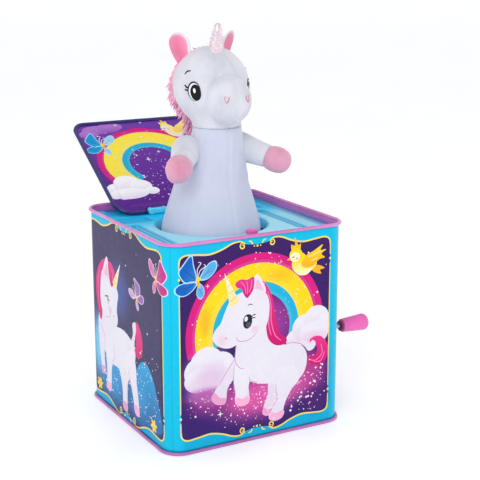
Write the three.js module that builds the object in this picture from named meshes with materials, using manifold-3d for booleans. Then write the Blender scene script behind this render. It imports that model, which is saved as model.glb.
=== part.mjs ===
// A jack in the box: a square tin box with a hinged lid, a plush unicorn on a spring, and a
// crank that turns a musical movement and trips the lid's latch.
// Millimetres, +Z up. The origin is the middle of the base's underside. The front is -Y, the
// lid is hinged at the back (+Y) and the crank stands out of the right side (+X).

import * as THREE from "three";
import * as BufferGeometryUtils from "three/addons/utils/BufferGeometryUtils.js";
import Module from "manifold-3d";

const wasm = await Module();
wasm.setup();

// ---------------------------------------------------------------- driving dimensions

const GAP = 0.3; // room between pieces that touch on the real object

// Tin box. Offsets are measured outwards from the centre line of its two rolled rims.
const BOX_HALF = 70; // rims' centre line, from the middle of the box
const CORNER_RADIUS = 13.9; // of that centre line
const BOX_HEIGHT = 147.6;
const RIM_RADIUS = 1.2;
const SHEET = 0.6; // tin plate
const WALL_OUTSIDE = -0.8;
const WALL_INSIDE = WALL_OUTSIDE - SHEET;
const BASE_THICKNESS = 0.8;

// Moulded deck under the lid.
const DECK_TOP = 140.4;
const DECK_THICKNESS = 2;
const DECK_EDGE = WALL_INSIDE - GAP;
const DECK_FLANGE_HEIGHT = 3;
const HOLE_RADIUS = 40.6; // the puppet's way out
const COLLAR_DEPTH = 6;

// Lid, drawn closed and then turned open about its hinge.
const HINGE_Y = 48;
const HINGE_Z = 142.4;
const LID_HALF_WIDTH = 53;
const LID_LENGTH = 106;
const LID_EDGE_RADIUS = 1.5; // rolled edge
const LID_SHEET = 0.8;
const LID_OPEN_ANGLE = THREE.MathUtils.degToRad(148.3);
const LID_FRONT_RADIUS = 9;
const LID_HINGE_RADIUS = 14;
const TAB_CENTRE_X = 20;
const TAB_WIDTH = 16;

// Puppet. It stands on the box's vertical axis and faces the front.
const NECK_Z = 211;
const NECK_RADIUS = 17.5;
const SKIRT_Z = 132; // where the cone of cloth ends, just under the deck
const SKIRT_RADIUS = 37.5;
const SLEEVE_FOOT_Z = 17;
const SLEEVE_CLOTH = 1;
const HEAD_CENTRE = new THREE.Vector3(0, 0, 239);
const HEAD_SIZE = new THREE.Vector3(27, 26, 27.3); // half widths
const MUZZLE_CENTRE = new THREE.Vector3(0, -27, 231.4);
const MUZZLE_SIZE = new THREE.Vector3(16, 12.5, 16.5);
const SHOULDER = new THREE.Vector3(19, 0, 196);
const ARM_DIRECTION = new THREE.Vector3(0.58, -0.77, -0.265).normalize();
const ARM_LENGTH = 27;
const HOOF_LENGTH = 17;

// Crank and musical movement, on the right wall.
const CRANK_Z = 59;
const WIRE_RADIUS = 1.5;
const CRANK_INNER_X = 46.5;
const CRANK_ARM_X = 78;
const CRANK_ARM_LENGTH = 37;
const KNOB_START_X = 89;
const KNOB_LENGTH = 22;
const GEAR_MODULE = 0.9;
const PINION_TEETH = 12;
const DRUM_TEETH = 24;
const GEAR_SPACING = (GEAR_MODULE * (PINION_TEETH + DRUM_TEETH)) / 2;
const DRUM_Z = CRANK_Z + GEAR_SPACING;
const DRUM_RADIUS = 8;
const AXLE_RADIUS = 1;
const FRAME_INNER_X = 44;
const FRAME_OUTER_X = BOX_HALF + WALL_INSIDE - GAP;
const FRAME_PLATE = 2;
const GEAR_START_X = 60;
const GEAR_WIDTH = 4;

// Latch: a hook, a cross shaft under the deck and an arm that the movement kicks.
const LATCH_X = -2.5;
const LATCH_Y = -60.4;
const LATCH_SHAFT_Z = 118;
const LATCH_SHAFT_RADIUS = 1.2;
const LATCH_WIDTH = 7;
const HOOK_TOP_Z = 148.9;
const KICKER_X = 41.2;
const KICKER_WIDTH = 2.2;

// Spring, light and battery.
const SPRING_WIRE = 0.9; // radius
const PEDESTAL_RADIUS = 12;
const SPRING_SEAT_RADIUS = 35;
const RIVET_X = [-8, 8];
const RIVET_HEAD_RADIUS = 2.4;
const RIVET_RADIUS = 1.2;
const LIGHT_Z = 193; // underside of the plate that the spring lifts
const BATTERY_Y = 34;
const CELL_RADIUS = 5.2;
const CELL_LENGTH = 44.5;
const DOOR_SCREW_X = 22.9;

// ---------------------------------------------------------------- materials

const material = (color, roughness, metalness = 0) =>
  new THREE.MeshStandardMaterial({ color, roughness, metalness });

const PRINTED_TIN = material(0x1ab4dc, 0.35, 0.2);
const PINK_TIN = material(0xdf7fc8, 0.35, 0.2);
const DECK_PLASTIC = material(0x8fd8f5, 0.4);
const LID_TIN = material(0x2a2a80, 0.35, 0.2);
const STEEL = material(0xb9bcc2, 0.3, 0.9);
const BRASS = material(0xc9a44c, 0.35, 0.9);
const PINK_PLASTIC = material(0xee6cc0, 0.4);
const WHITE_PLASTIC = material(0xf2f2f2, 0.45);
const DARK_PLASTIC = material(0x2b2b30, 0.5);
const WHITE_PLUSH = material(0xe9edf6, 0.9);
const CLOTH = material(0xc8cade, 0.9);
const PINK_PLUSH = material(0xf0a3bf, 0.9);
const PINK_FUR = material(0xf491b8, 0.95);
const GLITTER = material(0xe9cfe0, 0.35, 0.3);
const CIRCUIT_BOARD = material(0x2f7a4a, 0.5);
const RED_LED = material(0xe04050, 0.2);
const GREEN_LED = material(0x40c060, 0.2);
const BLUE_LED = material(0x4060e0, 0.2);
const CLEAR_PLASTIC = material(0xe6f0f4, 0.2);
const LEAD_PLASTIC = material(0xd8d8dc, 0.5);

// ---------------------------------------------------------------- shape helpers

const vec = (x, y, z) => new THREE.Vector3(x, y, z);

function positionsOnly(geometry) {
  const bare = geometry.clone();
  for (const name of Object.keys(bare.attributes)) {
    if (name !== "position") bare.deleteAttribute(name);
  }
  return BufferGeometryUtils.mergeVertices(bare, 1e-4);
}

function toManifold(geometry) {
  const merged = positionsOnly(geometry);
  return new wasm.Manifold(
    new wasm.Mesh({
      numProp: 3,
      vertProperties: new Float32Array(merged.attributes.position.array),
      triVerts: new Uint32Array(merged.index.array),
    }),
  );
}

function fromManifold(manifold) {
  const mesh = manifold.getMesh();
  const geometry = new THREE.BufferGeometry();
  geometry.setAttribute("position", new THREE.BufferAttribute(mesh.vertProperties, 3));
  geometry.setIndex(new THREE.BufferAttribute(mesh.triVerts, 1));
  return geometry;
}

const join = (first, ...others) =>
  fromManifold(others.reduce((sum, g) => sum.add(toManifold(g)), toManifold(first)));

const cut = (first, ...tools) =>
  fromManifold(tools.reduce((rest, g) => rest.subtract(toManifold(g)), toManifold(first)));

function block(x, y, z) {
  const geometry = new THREE.BoxGeometry(x[1] - x[0], y[1] - y[0], z[1] - z[0]);
  return geometry.translate((x[0] + x[1]) / 2, (y[0] + y[1]) / 2, (z[0] + z[1]) / 2);
}

// A round bar between two heights, standing at (x, y).
function barZ(radius, z, x = 0, y = 0, sides = 16) {
  const geometry = new THREE.CylinderGeometry(radius, radius, z[1] - z[0], sides);
  return geometry.rotateX(Math.PI / 2).translate(x, y, (z[0] + z[1]) / 2);
}

// A round bar along X, at (y, z).
function barX(radius, x, y, z, sides = 16) {
  const geometry = new THREE.CylinderGeometry(radius, radius, x[1] - x[0], sides);
  return geometry.rotateZ(-Math.PI / 2).translate((x[0] + x[1]) / 2, y, z);
}

function ellipsoid(centre, size, columns = 20, rows = 14) {
  const geometry = new THREE.SphereGeometry(1, columns, rows).rotateX(Math.PI / 2);
  return geometry.scale(size.x, size.y, size.z).translate(centre.x, centre.y, centre.z);
}

// Turned about Z from [radius, z] points, which start and end on the axis or close on themselves.
function turned(points, sides = 24) {
  const profile = points.map(([radius, z]) => new THREE.Vector2(radius, z));
  return new THREE.LatheGeometry(profile, sides).rotateX(Math.PI / 2);
}

// A closed rounded rectangle: points and outward directions. radii run counterclockwise from
// the corner at (right, back): back right, back left, front left, front right.
function roundedOutline(left, right, front, back, radii, steps = 5) {
  const corners = [
    [right, back, -1, -1],
    [left, back, 1, -1],
    [left, front, 1, 1],
    [right, front, -1, 1],
  ];
  return corners.flatMap(([x, y, inX, inY], corner) => {
    const radius = radii[corner];
    return Array.from({ length: steps + 1 }, (_, step) => {
      const angle = (corner + step / steps) * (Math.PI / 2);
      const out = new THREE.Vector2(Math.cos(angle), Math.sin(angle));
      const point = new THREE.Vector2(x + inX * radius, y + inY * radius);
      return { point: point.addScaledVector(out, radius), out };
    });
  });
}

// A section of [offset, z] points carried round an outline. A closed section gives a ring; an
// open one starts and ends on flat faces that fill the outline.
function carried(outline, section, closed) {
  const columns = outline.length;
  const rows = section.length;
  const positions = [];
  const triangles = [];
  for (const { point, out } of outline) {
    for (const [offset, z] of section) {
      positions.push(point.x + out.x * offset, point.y + out.y * offset, z);
    }
  }
  const at = (column, row) => (column % columns) * rows + (row % rows);
  for (let column = 0; column < columns; column++) {
    for (let row = 0; row < (closed ? rows : rows - 1); row++) {
      const a = at(column, row);
      const b = at(column + 1, row);
      const c = at(column + 1, row + 1);
      const d = at(column, row + 1);
      triangles.push(a, b, c, a, c, d);
    }
  }
  if (!closed) {
    for (let column = 1; column < columns - 1; column++) {
      triangles.push(at(0, 0), at(column + 1, 0), at(column, 0));
      triangles.push(at(0, rows - 1), at(column, rows - 1), at(column + 1, rows - 1));
    }
  }
  const geometry = new THREE.BufferGeometry();
  geometry.setAttribute("position", new THREE.Float32BufferAttribute(positions, 3));
  geometry.setIndex(triangles);
  return geometry;
}

const boxOutline = () =>
  roundedOutline(-BOX_HALF, BOX_HALF, -BOX_HALF, BOX_HALF, Array(4).fill(CORNER_RADIUS));

// Points on an arc of a section, from one angle to another in degrees.
function arc(centre, radius, from, to, steps) {
  return Array.from({ length: steps + 1 }, (_, step) => {
    const angle = THREE.MathUtils.degToRad(from + ((to - from) * step) / steps);
    return [centre[0] + radius * Math.cos(angle), centre[1] + radius * Math.sin(angle)];
  });
}

function wire(curve, radius, steps, sides = 8) {
  const section = new THREE.Shape();
  section.absarc(0, 0, radius, 0, Math.PI * 2, false);
  const curveSegments = sides / 2; // each half of the section
  const options = { steps, extrudePath: curve, curveSegments, bevelEnabled: false };
  return new THREE.ExtrudeGeometry(section, options);
}

// A coil about Z whose radius runs evenly from bottom to top.
class Helix extends THREE.Curve {
  constructor(bottom, top, turns, startAngle = 0) {
    super();
    Object.assign(this, { bottom, top, turns, startAngle });
  }
  getPoint(t) {
    const angle = this.startAngle + t * this.turns * Math.PI * 2;
    const radius = THREE.MathUtils.lerp(this.bottom.radius, this.top.radius, t);
    const z = THREE.MathUtils.lerp(this.bottom.z, this.top.z, t);
    return vec(radius * Math.cos(angle), radius * Math.sin(angle), z);
  }
}

// Straight stretches joined by quarter bends.
function bentPath(points, bend) {
  const path = new THREE.CurvePath();
  let start = points[0];
  for (let i = 1; i < points.length - 1; i++) {
    const corner = points[i];
    const before = corner.clone().addScaledVector(start.clone().sub(corner).normalize(), bend);
    const towards = points[i + 1].clone().sub(corner).normalize();
    const after = corner.clone().addScaledVector(towards, bend);
    path.add(new THREE.LineCurve3(start, before));
    path.add(new THREE.QuadraticBezierCurve3(before, corner, after));
    start = after;
  }
  path.add(new THREE.LineCurve3(start, points[points.length - 1]));
  return path;
}

// Spur gear with involute flanks at 25 degrees and a little backlash, bored for its shaft,
// lying in the YZ plane from x[0] to x[1] about its own axis.
function spurGear(teeth, boreRadius, x) {
  const pressure = THREE.MathUtils.degToRad(25);
  const pitch = (GEAR_MODULE * teeth) / 2;
  const base = pitch * Math.cos(pressure);
  const tip = pitch + 0.9 * GEAR_MODULE;
  const root = pitch - 1.15 * GEAR_MODULE;
  const backlash = 0.1;
  const involute = (a) => Math.tan(a) - a;
  const halfAtPitch = Math.PI / (2 * teeth) - backlash / pitch;
  const halfAngle = (radius) => {
    const a = Math.acos(Math.min(1, base / radius));
    return halfAtPitch + involute(pressure) - involute(a);
  };
  const flankStart = Math.max(base, root + 0.1);
  const flank = [flankStart, (flankStart + tip) / 2, tip];
  const shape = new THREE.Shape();
  for (let tooth = 0; tooth < teeth; tooth++) {
    const middle = (tooth * 2 * Math.PI) / teeth;
    const rising = flank.map((radius) => [radius, middle - halfAngle(radius)]);
    const falling = flank.map((radius) => [radius, middle + halfAngle(radius)]).reverse();
    const points = [
      [root, rising[0][1]],
      ...rising,
      ...falling,
      [root, falling[falling.length - 1][1]],
    ];
    for (const [radius, angle] of points) {
      const y = radius * Math.cos(angle);
      const z = radius * Math.sin(angle);
      if (shape.curves.length || shape.currentPoint.lengthSq()) shape.lineTo(y, z);
      else shape.moveTo(y, z);
    }
  }
  const bore = new THREE.Path();
  bore.absarc(0, 0, boreRadius, 0, Math.PI * 2, true);
  shape.holes.push(bore);
  const options = { depth: x[1] - x[0], bevelEnabled: false, curveSegments: 6 };
  const geometry = new THREE.ExtrudeGeometry(shape, options);
  // Shape x, y and depth become Y, Z and X.
  const turn = new THREE.Matrix4().makeBasis(vec(0, 1, 0), vec(0, 0, 1), vec(1, 0, 0));
  return geometry.applyMatrix4(turn).translate(x[0], 0, 0);
}

const toy = new THREE.Group();

function add(name, geometry, meshMaterial, parent = toy) {
  const mesh = new THREE.Mesh(geometry, meshMaterial);
  mesh.name = name;
  parent.add(mesh);
  return mesh;
}

// A cheese-head screw pointing down from (x, y, z), with its head on top.
function addScrew(name, x, y, z, length, parent = toy) {
  const points = [
    [0, -length],
    [1.2, -length],
    [1.2, 0],
    [2.4, 0],
    [2.4, 1.4],
    [0, 1.4],
  ];
  const screw = add(name, turned(points, 12), STEEL, parent);
  screw.position.set(x, y, z);
  return screw;
}

// ---------------------------------------------------------------- tin box

function buildBox() {
  const rimZ = BOX_HEIGHT - RIM_RADIUS;
  const wallFoot = 2 * RIM_RADIUS + GAP;
  const wall = carried(
    boxOutline(),
    [
      [WALL_OUTSIDE, wallFoot],
      [WALL_OUTSIDE, rimZ - 1],
      ...arc([0, rimZ], RIM_RADIUS, -125, 180, 7),
      [WALL_INSIDE, rimZ - 0.5],
      [WALL_INSIDE, wallFoot],
    ],
    true,
  );
  const crankHole = barX(WIRE_RADIUS + 2.5, [BOX_HALF - 5, BOX_HALF + 5], 0, CRANK_Z);
  add("body_shell", cut(wall, crankHole), PRINTED_TIN);

  const flange = WALL_INSIDE - GAP;
  const base = carried(
    boxOutline(),
    [
      [-CORNER_RADIUS / 2, 0],
      ...arc([0, RIM_RADIUS], RIM_RADIUS, -90, 135, 5),
      [flange, wallFoot - 0.6],
      [flange, wallFoot + 4],
      [flange - SHEET, wallFoot + 4],
      [flange - SHEET, BASE_THICKNESS],
      [-CORNER_RADIUS / 2, BASE_THICKNESS],
    ],
    false,
  );
  const doorHole = block([-26, 26], [BATTERY_Y - 16, BATTERY_Y + 16], [-1, 2]);
  const switchSlot = block([-4.5, 4.5], [-47, -43], [-1, 2]);
  const rivetHoles = RIVET_X.map((x) => barZ(RIVET_HEAD_RADIUS + GAP, [-1, 2], x, 0, 12));
  add("base_plate", cut(base, doorHole, switchSlot, ...rivetHoles), PINK_TIN);

  const bushing = turned(
    [
      [WIRE_RADIUS + GAP, -0.9],
      [WIRE_RADIUS + 2, -0.9],
      [WIRE_RADIUS + 2, 0],
      [WIRE_RADIUS + 4.5, 0],
      [WIRE_RADIUS + 3.5, 1.8],
      [WIRE_RADIUS + GAP, 1.8],
      [WIRE_RADIUS + GAP, -0.9],
    ],
    16,
  );
  const crankBushing = add("crank_bushing", bushing, WHITE_PLASTIC);
  crankBushing.rotation.y = Math.PI / 2;
  crankBushing.position.set(BOX_HALF + WALL_OUTSIDE + GAP, 0, CRANK_Z);
}

// ---------------------------------------------------------------- deck and lid

function buildDeck() {
  const underside = DECK_TOP - DECK_THICKNESS;
  const plate = carried(
    boxOutline(),
    [
      [-CORNER_RADIUS / 2, underside],
      [DECK_EDGE, underside],
      [DECK_EDGE, DECK_TOP + DECK_FLANGE_HEIGHT],
      [DECK_EDGE - 0.9, DECK_TOP + DECK_FLANGE_HEIGHT],
      [DECK_EDGE - 2.6, DECK_TOP],
      [-CORNER_RADIUS / 2, DECK_TOP],
    ],
    false,
  );
  const collar = barZ(HOLE_RADIUS + 1.6, [underside - COLLAR_DEPTH, DECK_TOP], 0, 0, 48);
  const hole = barZ(HOLE_RADIUS, [underside - 20, DECK_TOP + 5], 0, 0, 48);
  const grooves = [-1, 1].map((side) =>
    block([side * 51.5 - 4, side * 51.5 + 4], [-44, 40], [DECK_TOP - 0.8, DECK_TOP + 1]),
  );
  const latchSlot = block(
    [LATCH_X - LATCH_WIDTH / 2 - 0.7, LATCH_X + LATCH_WIDTH / 2 + 0.7],
    [LATCH_Y - 5.4, LATCH_Y + 6.6],
    [underside - 1, DECK_TOP + 1],
  );
  const lugs = [-14, 36].map((x) =>
    block([x, x + 3], [LATCH_Y - 4, LATCH_Y + 4], [LATCH_SHAFT_Z - 4, underside + 0.5]),
  );
  const shaftBore = barX(LATCH_SHAFT_RADIUS + GAP, [-20, 45], LATCH_Y, LATCH_SHAFT_Z, 12);
  const deck = cut(join(plate, collar, ...lugs), hole, ...grooves, latchSlot, shaftBore);
  add("deck", deck, DECK_PLASTIC);

  const tab = cut(
    block([-TAB_WIDTH / 2, TAB_WIDTH / 2], [-3, 3], [DECK_TOP + GAP - HINGE_Z, 2.4]),
    barX(0.9 + GAP, [-TAB_WIDTH, TAB_WIDTH], 0, 0, 12),
  );
  for (const [name, side] of [["left", -1], ["right", 1]]) {
    const hingeTab = add(`hinge_tab_${name}`, tab, DECK_PLASTIC);
    hingeTab.position.set(side * TAB_CENTRE_X, HINGE_Y, HINGE_Z);
  }
}

function buildLid() {
  const lid = new THREE.Group();
  lid.position.set(0, HINGE_Y, HINGE_Z);
  lid.rotation.x = -LID_OPEN_ANGLE;
  toy.add(lid);

  const edge = LID_HALF_WIDTH - LID_EDGE_RADIUS;
  const radii = [LID_HINGE_RADIUS, LID_HINGE_RADIUS, LID_FRONT_RADIUS, LID_FRONT_RADIUS];
  const outline = roundedOutline(-edge, edge, LID_EDGE_RADIUS - LID_LENGTH, 0, radii);
  const sheetTop = LID_EDGE_RADIUS - 0.2;
  const panel = carried(
    outline,
    [
      [0, sheetTop - LID_SHEET],
      [0, sheetTop],
    ],
    false,
  );
  const rolledEdge = carried(outline, arc([0, 0], LID_EDGE_RADIUS, 0, 315, 7), true);
  const notches = [-TAB_CENTRE_X, TAB_CENTRE_X].map((x) =>
    block([x - TAB_WIDTH / 2 - 0.6, x + TAB_WIDTH / 2 + 0.6], [-4.6, 5], [-5, 5]),
  );
  const pinBore = barX(0.9 + GAP, [-36, 36], 0, 0, 12);
  add("lid_panel", cut(join(panel, rolledEdge), ...notches, pinBore), LID_TIN, lid);
  add("lid_hinge_pin", barX(0.9, [-35, 35], 0, 0, 12), STEEL, lid);
}

// ---------------------------------------------------------------- latch

function buildLatch() {
  const half = LATCH_WIDTH / 2;
  const top = HOOK_TOP_Z - LATCH_SHAFT_Z;
  const stem = block([-half, half], [-4.6, -2], [0, top]);
  const nose = block([-half, half], [-2.5, 2], [top - 3.7, top]);
  const hub = barX(3.2, [-half, half], 0, 0, 12);
  const bore = barX(LATCH_SHAFT_RADIUS + GAP, [-half - 1, half + 1], 0, 0, 12);
  const latch = new THREE.Group();
  latch.position.set(0, LATCH_Y, LATCH_SHAFT_Z);
  toy.add(latch);

  const hook = add("latch_hook", cut(join(stem, nose, hub), bore), PINK_PLASTIC, latch);
  hook.position.x = LATCH_X;
  const shaftEnd = KICKER_X + KICKER_WIDTH + 1;
  add("latch_shaft", barX(LATCH_SHAFT_RADIUS, [-15, shaftEnd], 0, 0, 12), STEEL, latch);

  // The kicker arm slopes down and back to just above the movement's cam.
  const reach = vec(0, -LATCH_Y - 1, DRUM_Z - LATCH_SHAFT_Z + 13);
  const arm = block([0, KICKER_WIDTH], [0, Math.hypot(reach.y, reach.z)], [-2, 2]);
  arm.rotateX(Math.atan2(reach.z, reach.y));
  const armHub = barX(3.2, [0, KICKER_WIDTH], 0, 0, 12);
  const armBore = barX(LATCH_SHAFT_RADIUS + GAP, [-1, KICKER_WIDTH + 1], 0, 0, 12);
  const kicker = add("kicker_arm", cut(join(arm, armHub), armBore), STEEL, latch);
  kicker.position.x = KICKER_X;

  const coil = new Helix({ radius: 2.1, z: 0 }, { radius: 2.1, z: 6 }, 4);
  const spring = add("latch_spring", wire(coil, 0.35, 32, 4), STEEL);
  spring.rotation.y = Math.PI / 2;
  spring.position.set(LATCH_X + half + 1.5, LATCH_Y, LATCH_SHAFT_Z);
}

// ---------------------------------------------------------------- crank and movement

function buildCrank() {
  const crank = new THREE.Group();
  crank.position.z = CRANK_Z;
  toy.add(crank);
  const wireEnd = KNOB_START_X + KNOB_LENGTH - 3;
  const route = [
    vec(CRANK_INNER_X, 0, 0),
    vec(CRANK_ARM_X, 0, 0),
    vec(CRANK_ARM_X, -CRANK_ARM_LENGTH, 0),
    vec(wireEnd, -CRANK_ARM_LENGTH, 0),
  ];
  add("crank_wire", wire(bentPath(route, 4), WIRE_RADIUS, 30, 8), STEEL, crank);

  const toothTurn = Math.PI / PINION_TEETH;
  const pinionX = [GEAR_START_X, GEAR_START_X + GEAR_WIDTH];
  const pinion = add("crank_pinion", spurGear(PINION_TEETH, WIRE_RADIUS + GAP, pinionX), BRASS, crank);
  pinion.rotation.x = Math.PI / 2 + toothTurn;

  const knobHeight = { start: 5, end: 6.25 };
  const knob = turned(
    [
      [WIRE_RADIUS + GAP, 0],
      [knobHeight.start - 0.6, 0],
      [knobHeight.start, 0.8],
      [knobHeight.end, KNOB_LENGTH - 3],
      [knobHeight.end - 0.5, KNOB_LENGTH - 1],
      [knobHeight.end - 2, KNOB_LENGTH],
      [0, KNOB_LENGTH],
      [0, KNOB_LENGTH - 2.5],
      [WIRE_RADIUS + GAP, KNOB_LENGTH - 2.5],
      [WIRE_RADIUS + GAP, 0],
    ],
    20,
  );
  const crankKnob = add("crank_knob", knob, PINK_PLASTIC, crank);
  crankKnob.rotation.y = Math.PI / 2;
  crankKnob.position.set(KNOB_START_X, -CRANK_ARM_LENGTH, 0);

  const washer = turned(
    [
      [WIRE_RADIUS + 0.35, 0],
      [4, 0],
      [4, 0.8],
      [WIRE_RADIUS + 0.35, 0.8],
      [WIRE_RADIUS + 0.35, 0],
    ],
    16,
  );
  const knobWasher = add("knob_washer", washer, DARK_PLASTIC, crank);
  knobWasher.rotation.y = Math.PI / 2;
  knobWasher.position.set(KNOB_START_X - 1.2, -CRANK_ARM_LENGTH, 0);
}

function buildMovement() {
  const plateTop = DRUM_Z + 17;
  const plateFoot = CRANK_Z - 12;
  const plateY = [-21, 15];
  const inner = block([FRAME_INNER_X, FRAME_INNER_X + FRAME_PLATE], plateY, [plateFoot, plateTop]);
  const outer = block([FRAME_OUTER_X - FRAME_PLATE, FRAME_OUTER_X], plateY, [plateFoot, plateTop]);
  const floor = block([FRAME_INNER_X, FRAME_OUTER_X], plateY, [plateFoot, plateFoot + FRAME_PLATE]);
  const combShelf = block([FRAME_INNER_X, FRAME_OUTER_X], [-21, -15], [DRUM_Z - 5, DRUM_Z - 0.8]);
  const holes = [
    barX(WIRE_RADIUS + GAP, [40, 75], 0, CRANK_Z, 12),
    barX(AXLE_RADIUS + GAP, [40, FRAME_OUTER_X + 1], 0, DRUM_Z, 12),
    barZ(1.5, [DRUM_Z - 6, DRUM_Z], 49, -18, 12),
    barZ(1.5, [DRUM_Z - 6, DRUM_Z], 56, -18, 12),
  ];
  add("music_frame", cut(join(inner, outer, floor, combShelf), ...holes), STEEL);

  const drumX = [48, 58];
  const combTeeth = 8;
  const toothPitch = (drumX[1] - drumX[0]) / combTeeth;
  const combPlate = block(drumX, [-21, -14.5], [0, 0.7]);
  const teeth = Array.from({ length: combTeeth }, (_, i) => {
    const x = drumX[0] + (i + 0.15) * toothPitch;
    return block([x, x + toothPitch * 0.7], [-15, -DRUM_RADIUS - 1], [0.1, 0.6]);
  });
  const screwHoles = [49, 56].map((x) => barZ(1.5, [-1, 2], x, -18, 12));
  const comb = add("music_comb", cut(join(combPlate, ...teeth), ...screwHoles), STEEL);
  comb.position.z = DRUM_Z - 0.5;
  addScrew("comb_screw_1", 49, -18, DRUM_Z + 0.5, 4);
  addScrew("comb_screw_2", 56, -18, DRUM_Z + 0.5, 4);

  const drum = new THREE.Group();
  drum.position.z = DRUM_Z;
  toy.add(drum);
  const barrel = barX(DRUM_RADIUS, drumX, 0, 0, 20);
  const pins = Array.from({ length: 16 }, (_, i) => {
    const x = drumX[0] + ((i % combTeeth) + 0.5) * toothPitch;
    const pin = block([x - 0.25, x + 0.25], [-0.25, 0.25], [DRUM_RADIUS - 1, DRUM_RADIUS + 0.5]);
    return pin.rotateX((i * 5 * Math.PI) / 16);
  });
  const axleBore = barX(AXLE_RADIUS + GAP, [40, 70], 0, 0, 12);
  add("music_drum", cut(join(barrel, ...pins), axleBore), BRASS, drum);
  const gearX = [GEAR_START_X, GEAR_START_X + GEAR_WIDTH];
  const gear = add("drum_gear", spurGear(DRUM_TEETH, AXLE_RADIUS + GAP, gearX), BRASS, drum);
  gear.rotation.x = -Math.PI / 2;
  add("drum_axle", barX(AXLE_RADIUS, [KICKER_X - 0.6, FRAME_OUTER_X - 0.2], 0, 0, 12), STEEL, drum);
  const lobe = block([KICKER_X, KICKER_X + KICKER_WIDTH], [-1.5, 1.5], [-5.2, 0]);
  const camHub = barX(4, [KICKER_X, KICKER_X + KICKER_WIDTH], 0, 0, 12);
  add("kicker_cam", cut(join(camHub, lobe), axleBore), WHITE_PLASTIC, drum);
}

// ---------------------------------------------------------------- spring, light and battery

function buildSpringAndLight() {
  const seatTop = SLEEVE_FOOT_Z;
  const pedestal = turned([
    [0, BASE_THICKNESS + GAP],
    [PEDESTAL_RADIUS, BASE_THICKNESS + GAP],
    [PEDESTAL_RADIUS, seatTop - 2],
    [SPRING_SEAT_RADIUS, seatTop - 2],
    [SPRING_SEAT_RADIUS, seatTop],
    [0, seatTop],
  ]);
  const leadWay = block([-2, 2], [4.5, 16], [7, seatTop + 1]);
  const rivetWays = RIVET_X.map((x) => barZ(RIVET_RADIUS + GAP, [0, 9], x, 0, 12));
  add("spring_base", cut(pedestal, leadWay, ...rivetWays), WHITE_PLASTIC);
  const rivetProfile = [
    [0, 0.1],
    [RIVET_HEAD_RADIUS, 0.1],
    [RIVET_HEAD_RADIUS, 0.7],
    [RIVET_RADIUS, 0.7],
    [RIVET_RADIUS, 7],
    [0, 7],
  ];
  for (const [index, x] of RIVET_X.entries()) {
    const rivet = add(`base_rivet_${index + 1}`, turned(rivetProfile, 12), STEEL);
    rivet.position.x = x;
  }

  const coil = new Helix(
    { radius: 31, z: seatTop + GAP + SPRING_WIRE },
    { radius: 14, z: LIGHT_Z - GAP - SPRING_WIRE },
    8,
  );
  add("pop_spring", wire(coil, SPRING_WIRE, 80, 6), STEEL);

  const plate = barZ(15.5, [LIGHT_Z, LIGHT_Z + 1.6], 0, 0, 20);
  add("spring_top", cut(plate, barZ(1.2, [LIGHT_Z - 1, LIGHT_Z + 3], 7, 0, 8)), WHITE_PLASTIC);
  const boardZ = LIGHT_Z + 1.6 + GAP;
  add("led_board", barZ(9.5, [boardZ, boardZ + 1.2], 0, 0, 20), CIRCUIT_BOARD);
  const ledProfile = [
    [0, 0],
    [2.5, 0],
    [2.5, 3.5],
    [1.6, 5.2],
    [0, 5.8],
  ];
  for (const [index, [name, colour]] of [
    ["led_red", RED_LED],
    ["led_green", GREEN_LED],
    ["led_blue", BLUE_LED],
  ].entries()) {
    const angle = (index * 2 * Math.PI) / 3;
    const led = add(name, turned(ledProfile, 10), colour);
    led.position.set(5 * Math.cos(angle), 5 * Math.sin(angle), boardZ + 1.2 + GAP);
  }
  const dome = turned([
    [11.5, boardZ],
    [12.5, boardZ],
    [12.5, boardZ + 5],
    [9, boardZ + 11],
    [0, boardZ + 12.6],
    [0, boardZ + 11.6],
    [8.4, boardZ + 10],
    [11.5, boardZ + 5],
    [11.5, boardZ],
  ]);
  add("light_diffuser", dome, CLEAR_PLASTIC);

  const leadEnds = [{ radius: 7, z: seatTop + 2 }, { radius: 7, z: LIGHT_Z - 1.2 }];
  const lead = new Helix(...leadEnds, 5, Math.PI / 2);
  const rise = Array.from({ length: 41 }, (_, i) => lead.getPoint(i / 40));
  const route = [vec(0, 15, 9.5), vec(0, 10, 10), vec(0, 7.5, 13), ...rise];
  add("light_lead", wire(new THREE.CatmullRomCurve3(route), 0.7, 46, 6), LEAD_PLASTIC);
}

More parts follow.
